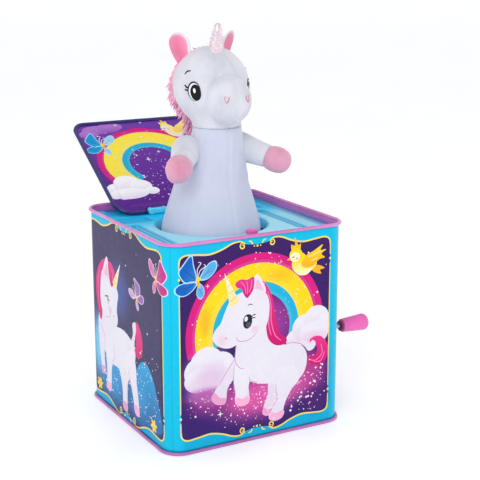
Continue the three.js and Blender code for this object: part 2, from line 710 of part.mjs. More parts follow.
function buildBattery() {
  const boxZ = [BASE_THICKNESS + GAP, 14.6];
  const outer = block([-31, 31], [BATTERY_Y - 18, BATTERY_Y + 18], boxZ);
  const roomY = [BATTERY_Y - 16.6, BATTERY_Y + 16.6];
  const room = block([-25, 20.5], roomY, [0, boxZ[1] - 1.4]);
  const doorRoom = block([-26.5, 26.5], roomY, [0, 2.4]);
  const screwWay = barZ(1.3, [0, 11], DOOR_SCREW_X, BATTERY_Y, 12);
  add("battery_box", cut(outer, room, doorRoom, screwWay), WHITE_PLASTIC);

  const cellBar = barX(CELL_RADIUS, [-24.5, CELL_LENGTH - 24.5], 0, 0, 12);
  for (const index of [0, 1, 2]) {
    const cell = add(`battery_cell_${index + 1}`, cellBar, STEEL);
    cell.position.set(0, BATTERY_Y + (index - 1) * (2 * CELL_RADIUS + 0.4), 2.6 + CELL_RADIUS);
  }
  const door = block([-25.7, 25.7], [BATTERY_Y - 15.7, BATTERY_Y + 15.7], [0, 2]);
  const headRoom = barZ(2.4, [-1, 1.1], DOOR_SCREW_X, BATTERY_Y, 12);
  add("battery_door", cut(door, headRoom, screwWay), WHITE_PLASTIC);
  const screwProfile = [
    [0, 0.1],
    [2.2, 0.1],
    [2.2, 0.8],
    [1, 0.8],
    [1, 9],
    [0, 9],
  ];
  const doorScrew = add("battery_screw", turned(screwProfile, 12), STEEL);
  doorScrew.position.set(DOOR_SCREW_X, BATTERY_Y, 0);

  add("switch_body", block([-8, 8], [-49, -41], [3.6, 9]), DARK_PLASTIC);
  add("switch_slider", block([-4, -0.5], [-46.7, -43.3], [0.2, 3.2]), DARK_PLASTIC);
}

// ---------------------------------------------------------------- puppet

// The cone of cloth and its straight foot, as a solid, grown outwards by extra.
function sleeveSolid(extra) {
  return turned(
    [
      [0, SLEEVE_FOOT_Z - extra],
      [SKIRT_RADIUS + extra, SLEEVE_FOOT_Z - extra],
      [SKIRT_RADIUS + extra, SKIRT_Z],
      [NECK_RADIUS + 1.6 + extra, NECK_Z - 6],
      [NECK_RADIUS + extra, NECK_Z],
      [0, NECK_Z + extra],
    ],
    28,
  );
}

function buildPuppet() {
  const foot = SLEEVE_FOOT_Z + GAP;
  const sleeve = turned(
    [
      [SKIRT_RADIUS - SLEEVE_CLOTH, foot],
      [SKIRT_RADIUS, foot],
      [SKIRT_RADIUS, SKIRT_Z],
      [NECK_RADIUS + 1.6, NECK_Z - 6],
      [NECK_RADIUS, NECK_Z],
      [NECK_RADIUS - SLEEVE_CLOTH, NECK_Z],
      [NECK_RADIUS + 1.6 - SLEEVE_CLOTH, NECK_Z - 6],
      [SKIRT_RADIUS - SLEEVE_CLOTH, SKIRT_Z],
      [SKIRT_RADIUS - SLEEVE_CLOTH, foot],
    ],
    28,
  );
  add("body_sleeve", sleeve, CLOTH);

  const grown = (size) => size.clone().addScalar(GAP);
  const headSpace = ellipsoid(HEAD_CENTRE, grown(HEAD_SIZE));
  const skull = ellipsoid(HEAD_CENTRE, HEAD_SIZE);
  const muzzle = ellipsoid(MUZZLE_CENTRE, MUZZLE_SIZE, 16, 10);
  const belowNeck = block([-40, 40], [-50, 40], [NECK_Z - 30, NECK_Z + GAP]);
  add("head", cut(join(skull, muzzle), belowNeck), WHITE_PLUSH);

  const horn = turned(
    [
      [0, -8],
      [5.6, -8],
      [2.6, 19],
      [1.8, 20.6],
      [0, 21.2],
    ],
    14,
  );
  horn.rotateX(THREE.MathUtils.degToRad(10)).translate(0, -7, 262);
  add("horn", cut(horn, headSpace), GLITTER);

  for (const [name, side] of [["left", -1], ["right", 1]]) {
    const ear = ellipsoid(vec(0, 0, 0), vec(7, 3.2, 11.5), 12, 8);
    ear.rotateY(THREE.MathUtils.degToRad(side * 10)).translate(side * 17.3, 12, 265);
    add(`ear_${name}`, cut(ear, headSpace), WHITE_PLUSH);
  }

  const crest = ellipsoid(vec(0, 7, 240), vec(24.5, 28, 27.5), 16, 10);
  const nape = ellipsoid(vec(0, 19, 214), vec(11, 9, 15), 12, 8);
  const frontHalf = block([-40, 40], [-50, 9], [150, 300]);
  const earSpace = [-1, 1].map((side) => {
    const space = ellipsoid(vec(0, 0, 0), vec(7 + GAP, 3.2 + GAP, 11.5 + GAP), 12, 8);
    return space
      .rotateY(THREE.MathUtils.degToRad(side * 10))
      .translate(side * 17.3, 12, 265);
  });
  const mane = cut(join(crest, nape), frontHalf, headSpace, sleeveSolid(GAP), ...earSpace);
  add("mane", mane, PINK_FUR);

  const armProfile = [
    [0, 0],
    [10.5, 0],
    [9.6, ARM_LENGTH * 0.5],
    [8.6, ARM_LENGTH],
    [0, ARM_LENGTH],
  ];
  const hoofProfile = [
    [0, ARM_LENGTH + GAP],
    [8.8, ARM_LENGTH + GAP],
    [9.8, ARM_LENGTH + 4],
    [9.6, ARM_LENGTH + 9],
    [7, ARM_LENGTH + 14.5],
    [0, ARM_LENGTH + HOOF_LENGTH],
  ];
  const sleeveSpace = sleeveSolid(GAP);
  for (const [name, side] of [["left", -1], ["right", 1]]) {
    const direction = ARM_DIRECTION.clone().multiply(vec(side, 1, 1));
    const shoulder = SHOULDER.clone().multiply(vec(side, 1, 1));
    const place = new THREE.Matrix4()
      .makeTranslation(shoulder)
      .multiply(
        new THREE.Matrix4().makeRotationFromQuaternion(
          new THREE.Quaternion().setFromUnitVectors(vec(0, 0, 1), direction),
        ),
      );
    const arm = turned(armProfile, 14).applyMatrix4(place);
    add(`arm_${name}`, cut(arm, sleeveSpace), WHITE_PLUSH);
    add(`hoof_${name}`, turned(hoofProfile, 14).applyMatrix4(place), PINK_PLUSH);
  }
}

buildBox();
buildDeck();
buildLid();
buildLatch();
buildCrank();
buildMovement();
buildSpringAndLight();
buildBattery();
buildPuppet();

export default toy;
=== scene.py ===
"""A jack in the box: a printed tin box with an open lid, a plush unicorn puppet and a side crank.

Sizes below are millimetres in the CAD model's frame (+Z up, front at -Y) and become metres when a
mesh is made. Printed pictures are drawn as flat shapes, cut into one triangulated sheet, coloured
at its corners and bent onto the tin, so they need no image.
"""

import functools
import math
import random

import bmesh
import bpy
import numpy as np
from mathutils import Matrix, Vector, noise
from mathutils.bvhtree import BVHTree
from mathutils.geometry import delaunay_2d_cdt


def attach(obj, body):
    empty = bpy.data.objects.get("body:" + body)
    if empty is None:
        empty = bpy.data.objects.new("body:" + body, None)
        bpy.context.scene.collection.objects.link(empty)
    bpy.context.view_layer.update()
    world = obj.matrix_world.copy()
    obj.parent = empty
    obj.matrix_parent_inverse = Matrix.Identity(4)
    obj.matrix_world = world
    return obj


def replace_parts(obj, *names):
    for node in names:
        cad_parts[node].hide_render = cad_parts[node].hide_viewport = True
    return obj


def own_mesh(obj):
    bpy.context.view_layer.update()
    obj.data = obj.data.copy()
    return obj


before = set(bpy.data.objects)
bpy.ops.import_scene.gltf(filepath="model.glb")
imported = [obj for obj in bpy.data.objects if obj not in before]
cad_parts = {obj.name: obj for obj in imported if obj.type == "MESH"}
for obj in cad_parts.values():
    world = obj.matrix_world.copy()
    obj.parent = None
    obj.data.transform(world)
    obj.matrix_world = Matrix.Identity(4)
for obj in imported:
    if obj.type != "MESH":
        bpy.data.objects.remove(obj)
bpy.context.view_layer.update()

MM = 0.001
TAU = 2 * math.pi

# ------------------------------------------------------------------ driving dimensions

RIM_HALF = 70.0  # centre line of the two rolled rims, from the middle of the box
RIM_CORNER = 13.9  # radius of the box's upright corners, at the rims' centre line
RIM_RADIUS = 1.2
BOX_TOP = 147.6
WALL_OFFSET = -0.8  # the tin's outside, from the rims' centre line
TIN = 0.6
DECK_TOP = 140.4
HOLE_RADIUS = 40.6
HINGE = Vector((0, 48.0, 142.4))
LID_OPEN = math.radians(148.3)
LID_HALF = 51.5  # centre line of the lid's rolled edge
LID_LENGTH = 104.5
LID_EDGE = 1.5
LID_NEAR_CORNER = 9.0  # at the hinge
LID_FAR_CORNER = 14.0
TAB_X = 20.0  # the hinge tabs, either side of the middle
NECK_Z = 211.0
HEAD_CENTRE = Vector((0, 0, 239.0))
HEAD_HALF = Vector((27.0, 26.0, 27.3))
MUZZLE_CENTRE = Vector((0, -27.0, 231.4))
MUZZLE_HALF = Vector((16.0, 12.5, 16.5))
SHOULDER = Vector((19.0, 0, 196.0))
ARM_DIRECTION = Vector((0.58, -0.77, -0.265)).normalized()

# ------------------------------------------------------------------ camera and light

CAMERA_LENS = 86.8
CAMERA_TARGET = Vector((0.0287, 0.0097, 0.122))
CAMERA_DISTANCE = 0.86
CAMERA_AZIMUTH = math.radians(-29.3)
CAMERA_ELEVATION = math.radians(13.95)
LIGHT_TARGET = Vector((0, 0, 0.13))
WORLD_COLOUR = (0.97, 0.98, 1.0, 1)
WORLD_STRENGTH = 0.71
STUDIO_LIGHTS = (  # name, place, diameter in metres, watts
    ("key", (-0.75, -0.9, 0.85), 0.6, 4.4),
    ("fill", (1.0, -0.7, 0.4), 0.9, 0.5),
    ("top", (-0.1, 0.25, 1.3), 0.9, 0.7),
)


def direction(azimuth, elevation):
    """From the object towards a viewer: azimuth 0 is in front of it, and positive is to the right."""
    flat = math.cos(elevation)
    return Vector((math.sin(azimuth) * flat, -math.cos(azimuth) * flat, math.sin(elevation)))


def aim(obj, target):
    obj.rotation_euler = (target - obj.location).to_track_quat("-Z", "Y").to_euler()


def add_camera():
    data = bpy.data.cameras.new("camera")
    data.lens = CAMERA_LENS
    data.clip_start = 0.05
    data.clip_end = 20
    camera = bpy.data.objects.new("camera", data)
    camera.location = CAMERA_TARGET + CAMERA_DISTANCE * direction(CAMERA_AZIMUTH, CAMERA_ELEVATION)
    aim(camera, CAMERA_TARGET)
    bpy.context.scene.collection.objects.link(camera)
    bpy.context.scene.camera = camera


def add_area_light(name, place, size, power):
    data = bpy.data.lights.new(name, "AREA")
    data.shape = "DISK"
    data.size = size
    data.energy = power
    light = bpy.data.objects.new(name, data)
    light.location = place
    aim(light, LIGHT_TARGET)
    bpy.context.scene.collection.objects.link(light)


def add_studio():
    world = bpy.data.worlds.new("studio")
    bpy.context.scene.world = world
    world.use_nodes = True
    background = world.node_tree.nodes["Background"]
    background.inputs["Color"].default_value = WORLD_COLOUR
    background.inputs["Strength"].default_value = WORLD_STRENGTH
    for light in STUDIO_LIGHTS:
        add_area_light(*light)


add_camera()
add_studio()
bpy.context.scene.view_settings.view_transform = "Standard"

# ------------------------------------------------------------------ colours


def rgb(red, green, blue):
    return (red / 255, green / 255, blue / 255)


def linear(colour):
    """From sRGB to the linear values that a material takes."""
    return tuple(c / 12.92 if c <= 0.04045 else ((c + 0.055) / 1.055) ** 2.4 for c in colour[:3])


def mixed(low, high, share):
    share = min(1, max(0, share))
    return tuple(a + (b - a) * share for a, b in zip(low, high))


CYAN = rgb(0, 176, 214)
DEEP_CYAN = rgb(0, 150, 196)
GOLD = rgb(248, 218, 92)
AMBER = rgb(250, 178, 28)
NIGHT = rgb(66, 32, 112)
PLUM = rgb(112, 40, 128)
MIST = rgb(214, 92, 166)
MAGENTA = rgb(216, 24, 126)
ROSE = rgb(246, 122, 178)
YELLOW = rgb(252, 214, 22)
LEMON = rgb(252, 232, 70)
SKY = rgb(26, 176, 216)
WHITE = rgb(231, 229, 237)
CLOUD_WHITE = rgb(252, 252, 254)
LILAC_WHITE = rgb(222, 210, 230)
CLOUD_PINK = rgb(228, 200, 224)
BLUE = rgb(12, 96, 190)
INK = rgb(30, 26, 40)
LINE = rgb(206, 142, 190)

# ------------------------------------------------------------------ materials


class Graph:
    """A material's nodes, made and joined in one call each."""

    def __init__(self, name):
        self.material = bpy.data.materials.new(name)
        self.material.use_nodes = True
        self.tree = self.material.node_tree
        self.shader = self.tree.nodes["Principled BSDF"]
        self.place = self.tree.nodes.new("ShaderNodeTexCoord").outputs["Object"]

    def feed(self, socket, value):
        """Links another node's output to a socket, or sets the socket's own value."""
        if isinstance(value, bpy.types.NodeSocket):
            self.tree.links.new(value, socket)
        else:
            socket.default_value = value

    def node(self, kind, inputs, **settings):
        made = self.tree.nodes.new(kind)
        for key, value in settings.items():
            setattr(made, key, value)
        for key, value in inputs.items():
            self.feed(made.inputs[key], value)
        return made

    def set(self, **sockets):
        for key, value in sockets.items():
            self.feed(self.shader.inputs[key.replace("_", " ")], value)

    def paint(self):
        """The colour and alpha that painted_sheet and add_ear leave in a mesh."""
        return self.node("ShaderNodeVertexColor", {}, layer_name="paint").outputs

    def noise(self, scale, detail=3.0, stretch=(1, 1, 1)):
        where = self.node("ShaderNodeMapping", {"Vector": self.place, "Scale": stretch})
        inputs = {"Vector": where.outputs[0], "Scale": scale, "Detail": detail}
        return self.node("ShaderNodeTexNoise", inputs).outputs["Fac"]

    def between(self, fac, low, high):
        """A value that runs from low to high as fac runs over a noise's usual spread."""
        inputs = {"Value": fac, "From Min": 0.3, "From Max": 0.7, "To Min": low, "To Max": high}
        return self.node("ShaderNodeMapRange", inputs).outputs[0]

    def shades(self, fac, *stops):
        ramp = self.node("ShaderNodeValToRGB", {"Fac": fac})
        elements = ramp.color_ramp.elements
        while len(elements) < len(stops):
            elements.new(0.5)
        for element, (position, colour) in zip(elements, stops):
            element.position = position
            element.color = (*linear(colour), 1)
        return ramp.outputs["Color"]

    def mix(self, way, share, under, over):
        """Two colours through a mix node, whose colour sockets are its sixth and seventh."""
        inputs = {0: share, 6: under, 7: over}
        return self.node("ShaderNodeMix", inputs, data_type="RGBA", blend_type=way).outputs[2]

    def maths(self, operation, first, second):
        return self.node("ShaderNodeMath", {0: first, 1: second}, operation=operation).outputs[0]

    def bump(self, height, strength, distance, under=None):
        inputs = {"Height": height, "Strength": strength, "Distance": distance}
        if under is not None:
            inputs["Normal"] = under
        return self.node("ShaderNodeBump", inputs).outputs["Normal"]


def toned(colour, factor):
    return tuple(min(1, c * factor) for c in colour)


def shell_material(name, colour, roughness, coat=0.0, metallic=0.0, glow=0.0, lit=0.0):
    """Smooth plastic, lacquer or metal: slight mottling, uneven gloss and a faint orange-peel skin.
    lit is a painted glow: the plastic gives off a little light of its own colour."""
    g = Graph(name)
    tint = g.shades(g.noise(35), (0.3, toned(colour, 0.93)), (0.7, toned(colour, 1.05)))
    gloss = g.between(g.noise(160, 5), roughness - 0.07, roughness + 0.07)
    peel = g.bump(g.noise(420, 2), 0.15, 0.0002)
    g.set(Base_Color=tint, Roughness=gloss, Metallic=metallic, Normal=peel)
    g.set(Coat_Weight=coat, Coat_Roughness=0.12, Subsurface_Weight=glow, Subsurface_Scale=0.004)
    # a painted glow of the plastic's own colour, as strong as lit
    g.set(Emission_Color=(*linear(colour), 1), Emission_Strength=lit)
    return g.material


def metal_material(name, colour, roughness, stretch=(1, 1, 14)):
    """Drawn or turned metal with fine lines along one axis."""
    g = Graph(name)
    lines = g.noise(900, 4, stretch)
    tint = g.shades(g.noise(60), (0.3, toned(colour, 0.85)), (0.7, toned(colour, 1.06)))
    g.set(Base_Color=tint, Metallic=1.0, Roughness=g.between(lines, roughness - 0.08, roughness + 0.12))
    g.set(Normal=g.bump(lines, 0.12, 0.0001))
    return g.material


def printed_material(name, roughness=0.32, coat=0.06, sparkle=True):
    """Printed tin or moulded plastic whose colour is the sheet's own paint. The paint's alpha says
    where fine printed sparkles are thick."""
    g = Graph(name)
    paint = g.paint()
    grain = g.shades(g.noise(240, 4), (0.3, (0.985, 0.985, 0.985)), (0.7, (1.0, 1.0, 1.0)))
    colour = g.mix("MULTIPLY", 1.0, paint["Color"], grain)
    for scale, radius in ((260, 0.2), (620, 0.26)) if sparkle else ():
        cells = g.node("ShaderNodeTexVoronoi", {"Vector": g.place, "Scale": scale})
        pick = g.node("ShaderNodeSeparateColor", {"Color": cells.outputs["Color"]})
        spot = g.maths("LESS_THAN", cells.outputs["Distance"], radius)
        chosen = g.maths("LESS_THAN", pick.outputs[0], paint["Alpha"])
        both = g.maths("MULTIPLY", spot, chosen)
        colour = g.mix("MIX", both, colour, (*linear(rgb(255, 226, 244)), 1))
    g.set(Base_Color=colour, Roughness=g.between(g.noise(120, 4), roughness - 0.06, roughness + 0.06))
    g.set(Coat_Weight=coat, Coat_Roughness=0.1, Specular_IOR_Level=0.12)
    g.set(Normal=g.bump(g.noise(55, 2), 0.06, 0.0006))
    return g.material


def plush_material(name, colour, shadow, painted=False):
    """Short-pile plush: tone that follows how the pile lies, over a fine fibre bump. A painted one
    takes its dye from the mesh."""
    g = Graph(name)
    lie = g.noise(75, 4, (1, 1, 0.6))
    tint = g.shades(lie, (0.25, shadow), (0.55, colour), (0.8, toned(colour, 1.04)))
    if painted:
        tint = g.mix("MULTIPLY", 1.0, g.paint()["Color"], tint)
    fibres = g.bump(g.noise(1500, 3, (1, 1, 0.5)), 0.4, 0.0005)
    soft = g.bump(g.noise(240, 3), 0.25, 0.0009, fibres)
    g.set(Base_Color=tint, Roughness=g.between(lie, 0.82, 0.95), Normal=soft)
    g.set(Sheen_Weight=0.5, Sheen_Roughness=0.5, Sheen_Tint=(1, 0.98, 1, 1))
    g.set(Subsurface_Weight=0.06, Subsurface_Scale=0.003)
    return g.material


def knit_material(name, colour, shadow):
    """Thin brushed knit: fine ribs up and across, and patches where the nap lies the other way."""
    g = Graph(name)
    patches = g.noise(28, 3, (1, 1, 0.5))
    tint = g.shades(patches, (0.3, shadow), (0.6, colour), (0.85, toned(colour, 1.05)))
    weave = None
    for scale, way, strength in ((420, "X", 0.1), (360, "Z", 0.07)):
        inputs = {"Vector": g.place, "Scale": scale, "Distortion": 1.5, "Detail": 2}
        ribs = g.node("ShaderNodeTexWave", inputs, bands_direction=way)
        weave = g.bump(ribs.outputs["Fac"], strength, 0.0002, weave)
    nap = g.bump(g.noise(900, 3), 0.25, 0.0003, weave)
    g.set(Base_Color=tint, Roughness=g.between(patches, 0.6, 0.78), Normal=nap)
    g.set(Sheen_Weight=0.6, Sheen_Roughness=0.35, Sheen_Tint=(0.95, 0.95, 1, 1))
    return g.material


def glitter_material(name):
    """Iridescent glitter cloth: flakes of white, pink and gold that each tip their own way."""
    g = Graph(name)
    flakes = g.node("ShaderNodeTexVoronoi", {"Vector": g.place, "Scale": 1500})
    pick = g.node("ShaderNodeSeparateColor", {"Color": flakes.outputs["Color"]})
    stops = (
        (0.0, rgb(246, 240, 246)),
        (0.35, rgb(236, 196, 222)),
        (0.6, rgb(240, 226, 200)),
        (0.8, rgb(206, 186, 214)),
        (1.0, rgb(255, 255, 255)),
    )
    tint = g.shades(pick.outputs[0], *stops)
    tilt = g.bump(pick.outputs[1], 0.9, 0.0004)
    g.set(Base_Color=tint, Normal=tilt, Metallic=0.35, Coat_Weight=0.4)
    g.set(Roughness=g.between(pick.outputs[2], 0.18, 0.5))
    return g.material


def fur_material(name, root, tip):
    """Long pile: darker between the tufts, and streaked along them."""
    g = Graph(name)
    streaks = g.noise(500, 4, (1, 1, 0.25))
    tint = g.shades(streaks, (0.25, root), (0.55, mixed(root, tip, 0.6)), (0.75, tip))
    g.set(Base_Color=tint, Roughness=0.8, Normal=g.bump(streaks, 0.3, 0.0004))
    g.set(Sheen_Weight=0.6, Sheen_Roughness=0.4, Sheen_Tint=(1, 0.85, 0.93, 1))
    g.set(Subsurface_Weight=0.1, Subsurface_Scale=0.004)
    return g.material


def thread_material(name):
    """Satin-stitch embroidery in the piece's own paint."""
    g = Graph(name)
    rows = {"Vector": g.place, "Scale": 700, "Distortion": 0.6, "Detail": 1}
    stitches = g.node("ShaderNodeTexWave", rows, bands_direction="DIAGONAL")
    g.set(Base_Color=g.paint()["Color"], Normal=g.bump(stitches.outputs["Fac"], 0.4, 0.0003))
    g.set(Roughness=g.between(g.noise(500), 0.4, 0.55), Specular_IOR_Level=0.2)
    return g.material


def floor_material():
    """A white sweep, lit a little from below."""
    g = Graph("floor")
    tint = g.shades(g.noise(3), (0.3, rgb(250, 250, 251)), (0.7, rgb(253, 253, 254)))
    g.set(Base_Color=tint, Roughness=0.6, Emission_Color=(1, 1, 1, 1), Emission_Strength=0.26)
    return g.material


PRINT = printed_material("printed_tin")
DECK_PRINT = printed_material("deck_top_plastic", 0.36, 0.1, sparkle=False)
EMBROIDERY = thread_material("embroidery")
PINK_LACQUER = shell_material("pink_lacquer", rgb(220, 124, 196), 0.3, coat=0.5)
ROSE_LACQUER = shell_material("rose_lacquer", rgb(178, 104, 172), 0.32, coat=0.4)
INNER_LACQUER = shell_material("inner_lacquer", rgb(196, 112, 190), 0.36, coat=0.4)
NAVY_LACQUER = shell_material("navy_lacquer", rgb(28, 24, 104), 0.3, coat=0.25)
# painted glow: the deck plastic gives off a little light, which brightens the shaded gap round the sleeve
DECK_PLASTIC_PAINTED_GLOW = shell_material("deck_plastic", rgb(104, 204, 244), 0.34, glow=0.08, lit=0.22)
TAB_PLASTIC = shell_material("tab_plastic", rgb(84, 212, 236), 0.34, glow=0.08)
PINK_PLASTIC = shell_material("pink_plastic", rgb(238, 104, 186), 0.34, glow=0.1)
WHITE_PLASTIC = shell_material("white_plastic", rgb(238, 238, 238), 0.45, glow=0.05)
DARK_PLASTIC = shell_material("dark_plastic", rgb(74, 52, 72), 0.5)
PLUM_PLASTIC = shell_material("plum_plastic", rgb(128, 52, 106), 0.45)
LEAD_PLASTIC = shell_material("lead_plastic", rgb(216, 216, 220), 0.5)
BOARD = shell_material("circuit_board", rgb(46, 112, 68), 0.45)
FROSTED = shell_material("frosted_plastic", rgb(232, 240, 244), 0.4, glow=0.3)
LEDS = {
    "led_red": shell_material("red_epoxy", rgb(222, 60, 72), 0.15),
    "led_green": shell_material("green_epoxy", rgb(70, 196, 104), 0.15),
    "led_blue": shell_material("blue_epoxy", rgb(72, 104, 226), 0.15),
}
STEEL = metal_material("steel", rgb(190, 192, 198), 0.3)
CELL_METAL = shell_material("cell_jacket", rgb(176, 178, 186), 0.3, metallic=0.7)
BRASS = metal_material("brass", rgb(206, 168, 90), 0.3, (14, 1, 1))
WHITE_PLUSH = plush_material("white_plush", rgb(215, 216, 224), rgb(200, 202, 211))
PINK_PLUSH = plush_material("pink_plush", rgb(222, 158, 182), rgb(210, 138, 164))
EAR_PLUSH = plush_material("ear_plush", rgb(252, 252, 252), rgb(236, 236, 238), painted=True)
BODY_KNIT = knit_material("body_knit", rgb(214, 217, 233), rgb(202, 205, 225))
GLITTER = glitter_material("glitter_cloth")
FUR = fur_material("pink_fur", rgb(244, 146, 184), rgb(255, 204, 224))

# ------------------------------------------------------------------ mesh helpers


def mesh_object(name, points, faces, material, body):
    """A new piece from points in millimetres, riding on a CAD body."""
    mesh = bpy.data.meshes.new(name)
    mesh.from_pydata([Vector(p) * MM for p in points], [], faces)
    mesh.materials.append(material)
    mesh.polygons.foreach_set("use_smooth", [True] * len(mesh.polygons))
    mesh.update()
    piece = bpy.data.objects.new(name, mesh)
    bpy.context.scene.collection.objects.link(piece)
    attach(piece, body)
    return piece


def apply_modifier(piece, kind, **settings):
    modifier = piece.modifiers.new(kind, kind)
    for key, value in settings.items():
        setattr(modifier, key, value)
    bpy.context.view_layer.objects.active = piece
    bpy.ops.object.modifier_apply(modifier=modifier.name)


def thicken(piece, thickness, **settings):
    """Gives a sheet a thickness in millimetres, inwards from its face."""
    apply_modifier(piece, "SOLIDIFY", thickness=thickness * MM, offset=-1, **settings)


def ring_faces(count, width, loop=False):
    """Quads between count rings of width points each."""
    faces = []
    for row in range(count if loop else count - 1):
        low = row * width
        high = (row + 1) % count * width
        for column in range(width):
            after = (column + 1) % width
            faces.append((low + column, low + after, high + after, high + column))
    return faces


def open_skin(rings):
    """Points and faces of a tube of rings with open ends."""
    return [p for ring in rings for p in ring], ring_faces(len(rings), len(rings[0]))


def skin(rings, loop=False):
    """Points and faces of a tube of rings; its ends are closed unless it is a loop."""
    width = len(rings[0])
    points = [p for ring in rings for p in ring]
    faces = ring_faces(len(rings), width, loop)
    if not loop:
        faces.append(tuple(reversed(range(width))))
        faces.append(tuple(range(len(points) - width, len(points))))
    return points, faces


def circle(radius, steps, centre=(0, 0)):
    angles = (TAU * i / steps for i in range(steps))
    return [(centre[0] + radius * math.cos(a), centre[1] + radius * math.sin(a)) for a in angles]


def turned(profile, sides, place, loop=False):
    """A profile of (radius, z) turned about Z and put in place."""
    rings = []
    for radius, z in profile:
        rings.append([place @ Vector((x, y, z)) for x, y in circle(max(radius, 0.01), sides)])
    return skin(rings, loop)


def quarter_turn(steps):
    """The sine and cosine of each of some even steps up to a right angle."""
    angles = [step / steps * math.pi / 2 for step in range(steps + 1)]
    return [(math.sin(a), math.cos(a)) for a in angles]


def joined(*parts):
    """Several (points, faces) as one."""
    points, faces = [], []
    for part_points, part_faces in parts:
        start = len(points)
        points += part_points
        faces += [tuple(start + i for i in face) for face in part_faces]
    return points, faces


def frame_along(path, loop=False):
    """A point and two cross directions at each point of a path, turning as little as possible."""
    path = [Vector(p) for p in path]
    count = len(path)
    frames = []
    side = None
    for i, point in enumerate(path):
        before = path[i - 1] if i or loop else point
        after = path[(i + 1) % count] if i < count - 1 or loop else point
        along = (after - before).normalized()
        if side is None:
            helper = Vector((0, 0, 1)) if abs(along.z) < 0.9 else Vector((1, 0, 0))
            side = along.cross(helper).normalized()
        side = (side - along * side.dot(along)).normalized()
        frames.append((point, side, along.cross(side).normalized()))
    return frames


def tube(path, radius, sides, loop=False):
    rings = []
    section = circle(radius, sides)
    for point, side, up in frame_along(path, loop):
        rings.append([point + side * x + up * y for x, y in section])
    return skin(rings, loop)


def rounded_outline(left, right, low, high, radii, steps=10):
    """Counterclockwise (x, y) points. radii: high right, high left, low left, low right."""
    corners = [(right, high, -1, -1), (left, high, 1, -1), (left, low, 1, 1), (right, low, -1, 1)]
    points = []
    for index, ((x, y, in_x, in_y), radius) in enumerate(zip(corners, radii)):
        centre_x, centre_y = x + in_x * radius, y + in_y * radius
        for step in range(steps + 1):
            angle = (index + step / steps) * math.pi / 2
            points.append((centre_x + radius * math.cos(angle), centre_y + radius * math.sin(angle)))
    return points


def square_outline(half, corner, steps=10):
    return rounded_outline(-half, half, -half, half, [corner] * 4, steps)


def rounded_distance(x, y, left, right, low, high, corner):
    """How far (x, y) lies outside a rounded rectangle; negative inside."""
    over_x = abs(x - (left + right) / 2) - (right - left) / 2 + corner
    over_y = abs(y - (low + high) / 2) - (high - low) / 2 + corner
    outside = math.hypot(max(over_x, 0), max(over_y, 0))
    return outside + min(max(over_x, over_y), 0) - corner


def ease(value, low, high):
    share = min(1, max(0, (value - low) / (high - low)))
    return share * share * (3 - 2 * share)


def bevelled_block(low, high, bevel):
    """A block with rounded edges, as (points, faces)."""
    made = bmesh.new()
    bmesh.ops.create_cube(made, size=1)
    size = Vector(high) - Vector(low)
    middle = (Vector(high) + Vector(low)) / 2
    bmesh.ops.scale(made, vec=size, verts=made.verts)
    bmesh.ops.translate(made, vec=middle, verts=made.verts)
    edges = list(made.edges)
    bmesh.ops.bevel(made, geom=edges, offset=bevel, segments=3, profile=0.5, affect="EDGES")
    made.verts.ensure_lookup_table()
    points = [v.co.copy() for v in made.verts]
    faces = [tuple(v.index for v in f.verts) for f in made.faces]
    made.free()
    return points, faces


# ------------------------------------------------------------------ drawing flat shapes
#
# A shape is (outline, paint): a closed outline in millimetres, and a function of (x, y) that gives
# red, green, blue and how much it covers. Later shapes lie over earlier ones.


def flat(colour, cover=1.0):
    return lambda x, y: (*colour, cover)


def ramp(low_colour, high_colour, low, high):
    """A colour that changes up the shape."""
    return lambda x, y: (*mixed(low_colour, high_colour, (y - low) / (high - low)), 1.0)


def ball(colour, edge, centre, radius):
    """A colour with a lit middle that turns to another at the edge."""
    return lambda x, y: (*mixed(colour, edge, math.dist((x, y), centre) / radius), 1.0)


def ellipse(x, y, half_width, half_height, tilt=0.0, steps=28):
    cos, sin = math.cos(math.radians(tilt)), math.sin(math.radians(tilt))
    points = []
    for c, s in circle(1, steps):
        u, v = c * half_width, s * half_height
        points.append((x + u * cos - v * sin, y + u * sin + v * cos))
    return points


def glow(colour, x, y, half_width, half_height, strength=1.0):
    """A soft patch that fades out towards its edge."""

    def paint(px, py):
        far = math.hypot((px - x) / half_width, (py - y) / half_height)
        return (*colour, strength * ease(1 - far, 0, 0.8))

    return [(ellipse(x, y, half_width, half_height), paint)]


def curve_points(points, closed, steps=6):
    """A smooth curve through given points."""
    count = len(points)
    made = []
    for i in range(count if closed else count - 1):
        p = []
        for k in (i - 1, i, i + 1, i + 2):
            p.append(points[k % count] if closed else points[min(max(k, 0), count - 1)])
        for step in range(steps):
            t = step / steps
            weights = (
                (-t + 2 * t * t - t**3) / 2,
                (2 - 5 * t * t + 3 * t**3) / 2,
                (t + 4 * t * t - 3 * t**3) / 2,
                (t**3 - t * t) / 2,
            )
            made.append(tuple(sum(w * q[axis] for w, q in zip(weights, p)) for axis in (0, 1)))
    if not closed:
        made.append(tuple(points[-1]))
    return made


def smooth(*points):
    return curve_points(points, True)


def stroke(points, width, taper=0.35, steps=6):
    """A line of some width through points, thinner towards its ends."""
    line = curve_points(points, False, steps)
    last = len(line) - 1
    sides = [], []
    for i, (x, y) in enumerate(line):
        before, after = line[max(i - 1, 0)], line[min(i + 1, last)]
        dx, dy = after[0] - before[0], after[1] - before[1]
        length = math.hypot(dx, dy) or 1
        half = width / 2 * (taper + (1 - taper) * math.sin(math.pi * (i + 0.5) / (last + 1)) ** 0.5)
        sides[0].append((x - dy / length * half, y + dx / length * half))
        sides[1].append((x + dy / length * half, y - dx / length * half))
    return sides[1] + sides[0][::-1]


def band(x, y, outer, inner, start, end, flatten=1.0):
    """Part of a ring, from one angle to another in degrees."""
    angles = [math.radians(start + (end - start) * i / 44) for i in range(45)]
    far = [(x + outer * math.cos(a), y + outer * flatten * math.sin(a)) for a in angles]
    near = [(x + inner * math.cos(a), y + inner * flatten * math.sin(a)) for a in angles]
    return far + near[::-1]


